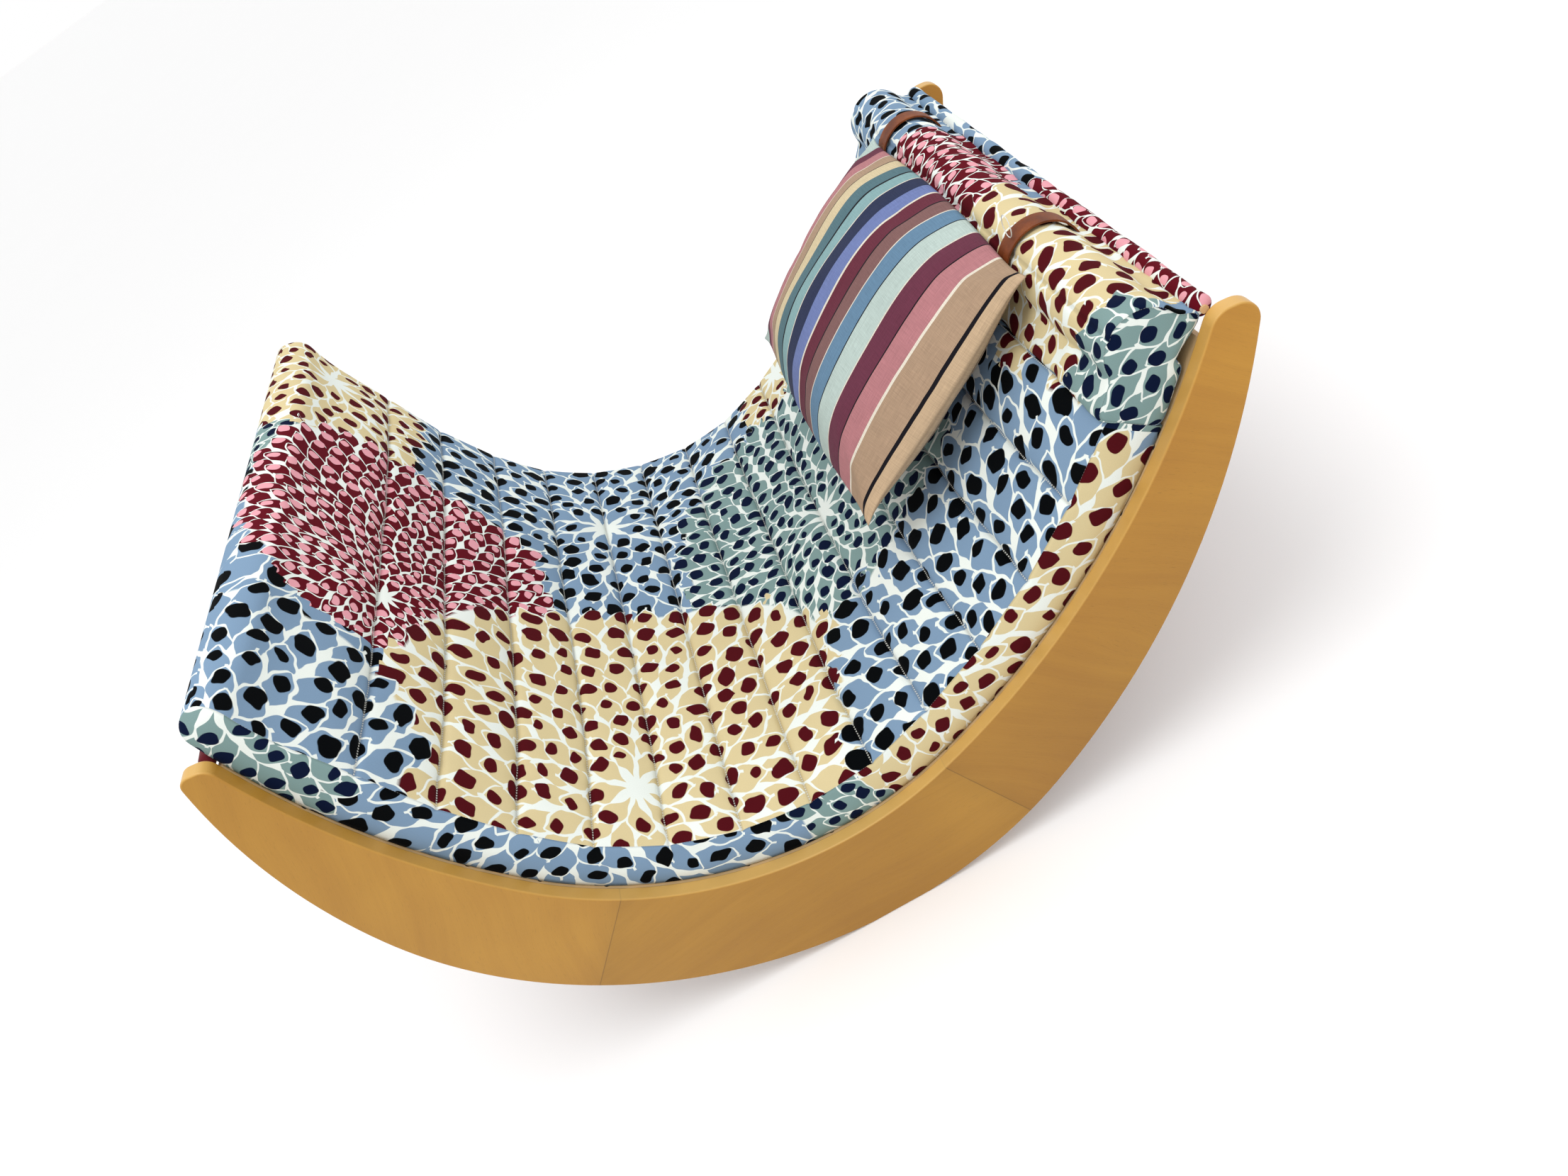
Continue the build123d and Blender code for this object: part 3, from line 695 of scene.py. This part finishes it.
def outline_reach(angles):
    """Distance from the eye to the roll's outline: the circle, its tail on the pad and its flap joined."""
    ways = np.stack([np.cos(angles), np.sin(angles)], -1)
    offset = ROLL_EYE - ROLL_CENTRE
    along = ways @ offset
    circle = -along + np.sqrt(along ** 2 - offset @ offset + ROLL_RADIUS ** 2)
    start = PAD_END - 4
    tail = [np.array(edge_point(np.array(s), inward)).ravel()
            for s, inward in ((start, ROLL_TAIL_HIGH), (ROLL_TAIL, ROLL_TAIL_HIGH), (ROLL_TAIL, 0.0),
                              (start, PAD_UNDER))]
    return np.maximum(circle, np.maximum(polygon_reach(tail, ways), polygon_reach(ROLL_FLAP, ways)))


def build_roll(material):
    angles = np.linspace(-0.5 * pi, 1.5 * pi, 145) + radians(-20)
    reach = outline_reach(angles[:-1])
    spread = np.exp(-np.linspace(-2, 2, 13) ** 2)
    spread /= spread.sum()
    wrapped = np.concatenate([reach[-6:], reach, reach[:6]])
    reach = np.convolve(wrapped, spread, "valid")
    reach = np.append(reach, reach[0])
    outline = ROLL_EYE + reach[:, None] * np.stack([np.cos(angles), np.sin(angles)], -1)
    length = np.append(0, np.cumsum(np.hypot(*np.diff(outline, axis=0).T)))
    crest = length[np.argmax(outline[:, 1])]
    cloth_over = length[-1] - length     # from underneath, up the front, over the crest, down the back

    t = np.linspace(0, 1, 169)
    y = ROLL_HALF * np.sin((t * 2 - 1) * pi / 2 * 0.96) / sin(pi / 2 * 0.96)
    close = np.clip((ROLL_HALF - np.abs(y)) / ROLL_ROUNDING, 0, 1)
    shrink = 1 - ROLL_TUCK * (1 - np.sqrt(1 - (1 - close) ** 2))
    away = np.abs(length - (crest + ROLL_SEAM))
    dent = 3.0 * np.exp(-(away / 5.0) ** 2)[None, :]
    wrinkle = ripple(y[:, None] * 1.0, length[None, :] * 0.35, 46.0, 31) * 1.3
    folds = ripple(y[:, None], length[None, :] * 0.2, 120.0, 33) * 1.6
    loose = smooth(close[:, None])
    sunk = np.zeros_like(y)
    for strap in (*STRAP_DEPTHS, STRAP_DEPTHS[1] + STRAP_TRAVEL):
        sunk = np.maximum(sunk, np.exp(-((y - strap) / STRAP_HOLLOW[0]) ** 4))
    over = np.exp(-((length - crest) / STRAP_HOLLOW[1]) ** 4)[None, :]
    radius = reach[None, :] * shrink[:, None] - dent + (wrinkle + folds - 1.6) * loose
    radius = radius - sunk[:, None] * over * (np.maximum(wrinkle + folds, -1.0) * 0.9 + 1.4)
    way = np.stack([np.cos(angles), np.sin(angles)], -1)
    u = ROLL_EYE[0] + radius * way[None, :, 0]
    w = ROLL_EYE[1] + radius * way[None, :, 1]
    cloth = cloth_grid(cloth_over[None, :], y[:, None] + HALF_WIDTH)
    patches = [Patch(world(u, y[:, None], w), cloth, away[None, :], stitched=y[:, None],
                     flowers=ROLL_FLOWERS)]
    for end in (0, -1):
        rings = np.linspace(1, 0, 9)[:, None]
        bulge = np.sign(y[end]) * 3.0 * np.sqrt(np.clip(1 - rings ** 3, 0, 1))
        u_end = ROLL_EYE[0] + (u[end] - ROLL_EYE[0]) * rings
        w_end = ROLL_EYE[1] + (w[end] - ROLL_EYE[1]) * rings
        seam = (1 - rings) * 60.0 + 1.0
        patches.append(Patch(world(u_end, y[end] + bulge, w_end), cloth_grid(u_end - 440.0, w_end + 120.0),
                             seam, stitched=length[None, :], flowers=[Flower(240, 160, SAGE)]))
    roll = make_piece("head_roll", patches, material)
    declare(roll, "frame", "petal_print_cotton", "head_roll_cover", "head_roll_filling")


def build_rim(name, node, slot, centre, radius, material, flowers, seed):
    """Padded tube across the shell's end, slightly uneven, with a seam along its underside."""
    low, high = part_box(node)
    angles = np.linspace(0, tau, 25)
    y = np.linspace(low[1] / MM, high[1] / MM, 200)
    closing = np.sqrt(np.clip(np.minimum(y - y[0], y[-1] - y) / 8.0, 0, 1))
    lump = 1 + 0.05 * ripple(y[:, None], angles[None, :] * 6, 70.0, seed)
    lump[:, -1] = lump[:, 0]
    reach = (radius - RIM_SLACK) * lump * np.maximum(closing, 0.05)[:, None]
    u = centre[0] + reach * np.cos(angles)[None, :]
    w = centre[1] + reach * np.sin(angles)[None, :]
    cloth = cloth_grid(angles[None, :] * radius, y[:, None] + HALF_WIDTH)
    seam = np.abs(angles - RIM_SEAM)[None, :] * radius
    patches = [Patch(world(u, y[:, None], w), cloth, seam, stitched=y[:, None], flowers=flowers)]
    for end in (0, -1):
        rings = np.array([[1.0], [0.0]])
        u_end = centre[0] + (u[end] - centre[0]) * rings
        w_end = centre[1] + (w[end] - centre[1]) * rings
        patches.append(Patch(world(u_end, y[end], w_end), cloth_grid(u_end, w_end), flowers=flowers))
    rim = make_piece(name, patches, material)
    declare(rim, "frame", slot, node)


# ---- plain dark cloth on the back
THREAD_PITCH = 0.0018        # metres
LINING_START, LINING_END = 3.0, 1743.0   # distances along the inner edge
LINING_HALF = HALF_INSIDE - 20.0
LINING_DEPTH = 14.8          # outside the inner edge: against the shell's underside
LINING_LIMITS = (13.2, 17.6)
TACKS = 62.0                 # distance between the tacks along the hem


def plain_cloth(name, colour):
    make = Shader(name, roughness=0.92, Sheen_Weight=0.25, Sheen_Roughness=0.4, Specular_IOR_Level=0.2)
    cloth = make.attribute("cloth")
    x, y, _ = make.split(cloth)
    warp = (x * (tau / THREAD_PITCH)).op("SINE") * 0.5 + 0.5
    weft = (y * (tau / THREAD_PITCH)).op("SINE") * 0.5 + 0.5
    mottle = make.noise(cloth, 14.0, detail=4.0) * 0.5 + 0.75
    slub = make.noise(cloth, 700.0, detail=2.0) * 0.3 + 0.85
    seam = make.split(make.attribute("seam"))[0]
    # painted shade: the cloth is darkened along its seams, where it creases
    crease = (1.0 - seam.op("ABSOLUTE") * 300.0).clamped()
    tone = make.shade(colour, mottle * slub * (1.0 - crease * 0.4))
    normal = make.bump(warp * weft + make.noise(cloth, 300.0) * 0.5, 0.0003, 0.7)
    return make.finish(tone, normal)


def build_back_cloth(material):
    """Lining stretched over the shell's underside, drawn in a little at the tacks along its hem."""
    s = np.linspace(LINING_START, LINING_END, 320)
    y = np.linspace(-LINING_HALF + 1, LINING_HALF - 1, 120)
    depth = LINING_DEPTH + 0.9 * ripple(s[:, None], y[None, :], 160.0, 41)
    hem = np.minimum(np.minimum(s - s[0], s[-1] - s)[:, None], LINING_HALF - np.abs(y)[None, :])
    tacked = 0.5 + 0.5 * np.cos(tau * (s[:, None] + y[None, :]) / TACKS)
    dimple = np.exp(-(hem / 12.0) ** 2) * tacked
    outward = np.clip(depth - dimple * 1.2, *LINING_LIMITS)
    u, w = edge_point(s[:, None], -outward)
    cloth = cloth_grid(s[:, None], y[None, :])
    patches = [Patch(world(u, y[None, :], w), cloth, np.abs(hem - 9.0), stitched=s[:, None])]
    lining = make_piece("back_lining", patches, material)
    declare(lining, "frame", "dark_red_cloth", "back_cover_foot", "back_cover_seat", "back_cover_head")


# ---- striped pillow
PILLOW_TOP, PILLOW_FOOT = np.array([483.0, 35.0]), np.array([187.0, -221.0])
PILLOW_LONG, PILLOW_HALF_THICK = 640.0, 70.0
PILLOW_SLACK = 6.0           # how much flatter it is drawn, before it is blown up
PILLOW_GRID, GRID_TURN = (76, 56), 1.25      # points each way, closer together towards the edges
PILLOW_BOW = 15.0            # how far the middle of each edge stands out
PILLOW_BACK = 700.0          # cloth distance between the print of the front and of the back
PILLOW_MIDDLE_Y, STRAPS_MIDDLE_Y = 10.0, 42.0
STRAP_SPACING = 530.0
STRAP_DEPTHS = (STRAPS_MIDDLE_Y - STRAP_SPACING / 2, STRAPS_MIDDLE_Y + STRAP_SPACING / 2)
STRAP_TRAVEL = 150.0         # how far the straps slide towards the right panel

MINT, PLUM, PINK = srgb(176, 192, 186), srgb(100, 48, 66), srgb(172, 116, 120)
TAN, SAND, CREAM_STRIPE = srgb(164, 138, 114), srgb(186, 160, 130), srgb(204, 188, 152)
TEAL, AQUA, NAVY, PERI = srgb(82, 112, 120), srgb(130, 164, 166), srgb(40, 48, 76), srgb(106, 120, 168)
WINE, MAUVE, STEEL = srgb(98, 40, 56), srgb(122, 88, 86), srgb(96, 128, 154)
BLACK, LINE = srgb(22, 20, 26), srgb(216, 208, 192)
STRIPES = [   # from the far end of the pillow, each with its width in millimetres
    (38, MINT), (22, PLUM), (26, PINK), (3, LINE), (28, TAN), (3, BLACK), (30, CREAM_STRIPE),
    (30, TEAL), (3, BLACK), (26, AQUA), (3, LINE), (32, NAVY), (32, PERI), (3, LINE), (34, WINE),
    (3, BLACK), (30, MAUVE), (3, LINE), (32, STEEL), (3, BLACK), (38, MINT), (3, LINE), (34, PLUM),
    (3, BLACK), (36, PINK), (4, LINE), (42, TAN), (4, BLACK), (14, SAND),
]
FIRST_RAMP = 15              # a colour ramp holds 32 colours, so the stripes take two


def striped_cloth(name):
    make = Shader(name, roughness=0.88, Sheen_Weight=0.04, Sheen_Roughness=0.45, Specular_IOR_Level=0.1)
    cloth = make.attribute("cloth")
    x, y, _ = make.split(cloth)
    waver = make.noise(cloth, 22.0, detail=1.0) - 0.5
    total = sum(width for width, _ in STRIPES)
    reach = (x + waver * 0.0016) / (PILLOW_LONG * MM)
    stops, start = [], 0.0
    for width, colour in STRIPES:
        stops.append((start / total, colour))
        start += width
    first = make.ramp(reach, stops[:FIRST_RAMP], "CONSTANT")
    second = make.ramp(reach, [(0.0, stops[FIRST_RAMP][1])] + stops[FIRST_RAMP:], "CONSTANT")
    colour = make.mix(first, second, (reach - stops[FIRST_RAMP][0]) * 1e5)
    weft = make.noise(make.join(x * 40.0, y * 900.0, 0.0), 1.0, detail=3.0)
    warp = make.noise(make.join(x * 1100.0, y * 30.0, 4.0), 1.0, detail=2.0)
    fade_and_shade = make.noise(cloth, 7.0, detail=2.0) * 0.16 + 0.92
    colour = make.shade(colour, (weft * 0.50 + 0.73) * (warp * 0.50 + 0.73) * fade_and_shade)
    seam = make.split(make.attribute("seam"))[0]
    # painted shade: the cloth is darkened along the seam round the pillow's edge
    crease = (1.0 - seam.op("ABSOLUTE") * 420.0).clamped()
    colour = make.shade(colour, 1.0 - crease * 0.35)
    normal = make.bump(weft + warp, 0.0005, 0.7)
    return make.finish(colour, normal)


def build_pillow(material):
    """Two printed faces sewn round the edge, drawn plump, then blown up until the cloth creases."""
    tall = float(np.hypot(*(PILLOW_TOP - PILLOW_FOOT)))
    turns = (np.linspace(-GRID_TURN, GRID_TURN, count) for count in PILLOW_GRID)
    gx, gy = np.meshgrid(*(np.sin(turn) / sin(GRID_TURN) for turn in turns), indexing="ij")
    flat_x = gx * (PILLOW_LONG / 2 + PILLOW_BOW * (1 - gy ** 2))
    flat_y = gy * (tall / 2 + PILLOW_BOW * (1 - gx ** 2))
    dome = ((1 - np.abs(gx) ** 2.6) * (1 - np.abs(gy) ** 2.3)) ** 0.62
    ear = 1 + 0.045 * (np.abs(gx) * np.abs(gy)) ** 9
    patches = []
    for side in (1, -1):
        height = side * (PILLOW_HALF_THICK - PILLOW_SLACK) * dome
        points = np.stack([flat_x * ear, flat_y * ear, height], -1) * MM
        cloth = cloth_grid((gx + 1) / 2 * PILLOW_LONG, gy / 2 * tall + side * PILLOW_BACK)
        edge = np.minimum((1 - np.abs(gx)) * PILLOW_LONG / 2, (1 - np.abs(gy)) * tall / 2)
        patches.append(Patch(points, cloth, edge, stitched=cloth[..., 0]))
    pillow = make_piece("striped_pillow", patches, material)
    inflate(pillow)
    settle_pillow(pillow, tall)
    declare(pillow, "pillow", "striped_cotton", "pillow_cover", "pillow_filling")


STUFFING = {"quality": 8, "mass": 0.3, "tension_stiffness": 25, "compression_stiffness": 15,
            "shear_stiffness": 8, "bending_stiffness": 0.4, "use_pressure": True,
            "uniform_pressure_force": 4.0}


def inflate(piece, frames=20, cap=9.0):
    """Blows the sewn cover up, each point moved by at most cap millimetres."""
    scene = bpy.context.scene
    bpy.context.view_layer.objects.active = piece
    cloth = piece.modifiers.new("stuffing", "CLOTH")
    for setting, value in STUFFING.items():
        setattr(cloth.settings, setting, value)
    cloth.settings.effector_weights.gravity = 0.0
    cloth.collision_settings.use_collision = False
    cloth.point_cache.frame_start, cloth.point_cache.frame_end = 1, frames
    before = mesh_places(piece.data)
    for number in range(1, frames + 1):
        scene.frame_set(number)
    blown = piece.evaluated_get(bpy.context.evaluated_depsgraph_get())
    moved = mesh_places(blown.data) - before
    length = np.maximum(np.linalg.norm(moved, axis=1, keepdims=True), 1e-9)
    moved *= np.minimum(1.0, cap * MM / length)
    piece.modifiers.clear()
    piece.data.vertices.foreach_set("co", (before + moved).ravel())
    piece.data.update()
    scene.frame_set(1)


def mesh_places(mesh):
    places = np.zeros(len(mesh.vertices) * 3)
    mesh.vertices.foreach_get("co", places)
    return places.reshape(-1, 3)


def settle_pillow(pillow, tall):
    """Leans the pillow on the pad under the head roll, with a slight wave in its faces."""
    mesh = pillow.data
    co = mesh_places(mesh) / MM
    x, y = co[:, 0] / PILLOW_LONG, co[:, 1] / tall
    calm = np.clip(1 - (2 * x) ** 4, 0, 1) * np.clip(1 - (2 * y) ** 4, 0, 1)
    co[:, 2] += ripple(co[:, 0], co[:, 1], 170.0, 61) * 2.0 * calm
    up = (PILLOW_TOP - PILLOW_FOOT) / tall
    out = np.array([-up[1], up[0]])
    middle = (PILLOW_TOP + PILLOW_FOOT) / 2
    u = middle[0] + up[0] * co[:, 1] + out[0] * co[:, 2]
    w = middle[1] + up[1] * co[:, 1] + out[1] * co[:, 2]
    placed = world(u, PILLOW_MIDDLE_Y - co[:, 0], w)
    mesh.vertices.foreach_set("co", placed.ravel())
    mesh.update()
    sew(mesh)
    finer = pillow.modifiers.new("finer", "SUBSURF")
    finer.levels = finer.render_levels = 1


# ---- materials of the CAD nodes
JOINT_ANGLES = (-124.2, -60.0)   # butt joints of the boards, seen from the seat centre
JOINT_PIVOT = world(SEAT_CENTRE[0], 0.0, SEAT_CENTRE[1])
JOINT_LINE, JOINT_SHADE = 0.0012, 0.035  # half widths of a joint's line and of the shade beside it


def beech(name, heading, shades, fade_and_shade):
    """Honey-lacquered beech: grain along the heading, fine dark flecks, joints, painted shade on the lower
    part and painted light that makes upward faces, such as the edges, paler.
    """
    make = Shader(name, roughness=0.4, Specular_IOR_Level=0.3, Coat_Weight=0.08, Coat_Roughness=0.3)
    turned = make.node("Mapping", {"Vector": make.place(), "Rotation": (0.0, radians(heading), 0.0)})
    x, y, z = make.split(turned.outputs["Vector"])
    bend = (make.stretched((x, y, z), (1.6, 3.0, 3.5)) - 0.5) * 0.16
    wood = (x, y, z + bend)
    streak = make.stretched(wood, (2.2, 30.0, 34.0), detail=4.0, roughness=0.62)
    fine = make.stretched(wood, (14.0, 200.0, 900.0), detail=3.0, roughness=0.6)
    fleck = make.stretched(wood, (90.0, 500.0, 1500.0), detail=1.0)
    cloud = make.noise(make.place(), 2.6, detail=3.0)
    tone = make.ramp(streak * 0.35 + cloud * 0.65, [(0.30, shades[0]), (0.5, shades[1]), (0.70, shades[2])])
    specks = ((fleck - 0.66) * 9.0).clamped() * 0.22
    run, _, rise = make.split(make.place())
    for angle in JOINT_ANGLES:
        way = radians(angle) + TILT
        away = ((run - JOINT_PIVOT[0]) * sin(way) - (rise - JOINT_PIVOT[2]) * cos(way)).op("ABSOLUTE")
        line = (1.0 - away / JOINT_LINE).clamped()
        shade = (1.0 - away / JOINT_SHADE).clamped()
        tone = make.shade(tone, 1.0 - line * 0.4 - shade * 0.07)
    # painted shade: below the lower height the board's colour is multiplied by the factor, rising to its
    # full colour at the upper height
    height_shade = ((rise - fade_and_shade[0]) / (fade_and_shade[1] - fade_and_shade[0])).clamped() * (1.0 - fade_and_shade[2]) + fade_and_shade[2]
    # painted light: faces that turn upward, such as the panels' top edges, are mixed toward a pale colour
    # as if lit from above
    top_light = make.split(make.node("NewGeometry").outputs["Normal"])[2].clamped()
    colour = make.shade(tone, (fine * 0.12 + 0.94) * (1.0 - specks) * height_shade)
    colour = make.mix(colour, srgb(226, 186, 112), top_light * 0.6)
    normal = make.bump(fine * 0.7 + streak * 0.3, 0.0001, 0.3)
    gloss = 0.30 + cloud * 0.14
    return make.finish(colour, normal, gloss)


def bare_wood(name, colour, scale=1.0):
    make = Shader(name, roughness=0.62, Specular_IOR_Level=0.35)
    place = make.split(make.place())
    streak = make.stretched(place, (60.0 * scale, 4.0, 60.0 * scale), detail=4.0, roughness=0.6)
    fine = make.stretched(place, (700.0, 30.0, 700.0))
    colour = make.shade(colour, (streak * 0.36 + 0.82) * (fine * 0.24 + 0.88))
    return make.finish(colour, make.bump(fine + streak, 0.0003, 0.4))


def plywood(name):
    make = Shader(name, roughness=0.6, Specular_IOR_Level=0.35)
    place = make.split(make.place())
    veneer = make.stretched(place, (8.0, 90.0, 8.0), detail=4.0, roughness=0.6)
    pores = make.stretched(place, (60.0, 1200.0, 60.0))
    colour = make.shade(srgb(206, 172, 124), (veneer * 0.4 + 0.8) * (pores * 0.3 + 0.85))
    return make.finish(colour, make.bump(veneer + pores, 0.0003, 0.4))


def leather(name):
    make = Shader(name, roughness=0.5, Specular_IOR_Level=0.2)
    place = make.place()
    cells = make.node("TexVoronoi", {"Vector": place, "Scale": 900.0, "Randomness": 1.0})
    grain = make.val(cells.outputs["Distance"])
    wear = make.noise(place, 38.0, detail=4.0)
    fibre = make.noise(place, 420.0, detail=3.0)
    tone = make.ramp(wear, [(0.32, srgb(92, 42, 14)), (0.55, srgb(118, 58, 22)), (0.78, srgb(144, 80, 36))])
    colour = make.shade(tone, (grain * 0.35 + 0.8) * (fibre * 0.2 + 0.9))
    normal = make.bump(grain * 0.8 + fibre * 0.5, 0.0004, 0.5)
    return make.finish(colour, normal, 0.42 + wear * 0.2)


def steel(name):
    make = Shader(name, roughness=0.35, Metallic=1.0)
    brushed = make.stretched(make.split(make.place()), (2500.0, 40.0, 2500.0))
    return make.finish(make.shade(srgb(190, 190, 192), brushed * 0.3 + 0.8),
                       make.bump(brushed, 0.0001, 0.3), 0.3 + brushed * 0.15)


def clear_plastic(name):
    make = Shader(name, roughness=0.25, Specular_IOR_Level=0.5, Transmission_Weight=0.3)
    scuff = make.noise(make.place(), 240.0, detail=3.0)
    return make.finish(make.shade(srgb(236, 236, 230), scuff * 0.1 + 0.92), make.bump(scuff, 0.0001, 0.3))


def dress(material, *names):
    """Gives CAD nodes a material."""
    for name in names:
        materials = frame["nodes"][name].data.materials
        if not materials:
            materials.append(material)
        for number in range(len(materials)):
            materials[number] = material


# ---- building
printed = printed_cloth("petal_print")
dark_red = plain_cloth("dark_red_cloth", srgb(96, 20, 30))
build_pad(printed)
build_roll(printed)
build_rim("head_rim", "head_rim_pad", "petal_print_cotton", HEAD_RIM, 14.0, printed, RIM_FLOWERS, 51)
build_rim("foot_rim", "foot_rim_pad", "dark_red_cloth", FOOT_RIM, 11.0, dark_red, None, 53)
build_back_cloth(dark_red)
build_pillow(striped_cloth("striped_cotton"))

# grain heading in the side view, degrees; dark, middle and light tone; heights and factor of the painted
# shade that darkens the lower part
BOARDS = {
    "foot": (66.0, (srgb(160, 112, 34), srgb(170, 121, 38), srgb(182, 133, 45)), (0.0, 0.3, 0.96)),
    "seat": (6.0, (srgb(152, 105, 30), srgb(164, 117, 35), srgb(178, 130, 43)), (0.0, 0.2, 1.0)),
    "head": (-46.0, (srgb(166, 112, 32), srgb(178, 124, 37), srgb(192, 138, 44)), (0.20, 0.66, 0.74)),
}
for board, (heading, shades, fade_and_shade) in BOARDS.items():
    lacquered = beech(f"lacquered_beech_{board}", heading, shades, fade_and_shade)
    dress(lacquered, f"left_panel_{board}", f"right_panel_{board}")
dress(bare_wood("bare_beech", srgb(206, 168, 120)),
      "foot_rail", "front_seat_rail", "rear_seat_rail", "back_rail",
      "left_glue_blocks", "right_glue_blocks", "foot_rim_bar", "head_rim_bar")
dress(bare_wood("joinery_beech", srgb(214, 180, 134), 1.6),
      "left_panel_tongues", "right_panel_tongues", "rail_dowels")
dress(plywood("shell_plywood"), "shell_foot", "shell_seat", "shell_head")
dress(leather("brown_leather"), "left_strap", "right_strap")
dress(steel("brushed_steel"), "strap_rod", "shell_screws")
dress(clear_plastic("clear_plastic"), "pillow_tie")

# ---- floor, light and camera
FLOOR_HALF = 400.0           # so large that its edge is never in view


def build_floor():
    make = Shader("pale_floor", roughness=0.8, Specular_IOR_Level=0.1)
    cloud = make.noise(make.place(), 0.8, detail=2.0)
    make.finish(make.shade(srgb(252, 252, 252), cloud * 0.01 + 0.99))
    corners = [(x * FLOOR_HALF, y * FLOOR_HALF, 0) for x, y in ((-1, -1), (1, -1), (1, 1), (-1, 1))]
    mesh = bpy.data.meshes.new("floor")
    mesh.from_pydata(corners, [], [(0, 1, 2, 3)])
    add_piece("floor", mesh, make.material)


def add_light(name, place, aim, size, power):
    data = bpy.data.lights.new(name, "AREA")
    data.shape, data.size, data.energy = "DISK", size, power
    light = bpy.data.objects.new(name, data)
    back = np.array(place) - np.array(aim)
    back /= np.linalg.norm(back)
    side = np.cross((0, 1, 0), back)
    side /= np.linalg.norm(side)
    axes = Matrix([side, np.cross(back, side), back]).transposed()
    light.matrix_world = Matrix.Translation(place) @ axes.to_4x4()
    bpy.context.scene.collection.objects.link(light)


MIDDLE = (0.0, 0.0, 0.3)
build_floor()
add_light("key", (-0.5, -1.1, 3.4), MIDDLE, 1.8, 36.0)
add_light("fill", (2.2, 1.0, 2.8), MIDDLE, 2.4, 8.0)
world_light = bpy.data.worlds.new("studio")
world_light.use_nodes = True
background = world_light.node_tree.nodes["Background"].inputs
background["Color"].default_value = (1.0, 1.0, 1.0, 1.0)
background["Strength"].default_value = 1.0
bpy.context.scene.world = world_light
bpy.context.scene.view_settings.view_transform = "Standard"

CAMERA_PLACE = (83.5, -1058.7 - HALF_WIDTH, 749.2)    # u, depth and w
FOCAL = 1620.0 / 2212.0          # focal length as a share of the image's width
SENSOR = 36.0
camera_data = bpy.data.cameras.new("camera")
camera_data.sensor_width = SENSOR
camera_data.lens = FOCAL * SENSOR
camera = bpy.data.objects.new("camera", camera_data)


def turn_axis(u, y, w):
    """Direction in the row frame of a direction given along u, y and w."""
    return np.array([u * cos(TILT) - w * sin(TILT), y, u * sin(TILT) + w * cos(TILT)])


right, up, forward = (turn_axis(*axis) for axis in (
    (0.914, -0.234, -0.330), (0.404, 0.5755, 0.7105), (-0.024, 0.7835, -0.6205)))
camera.matrix_world = (Matrix.Translation(world(*CAMERA_PLACE))
                       @ Matrix([right, up, -forward]).transposed().to_4x4())
camera_data.clip_end = 1000.0
bpy.context.scene.collection.objects.link(camera)
bpy.context.scene.camera = camera
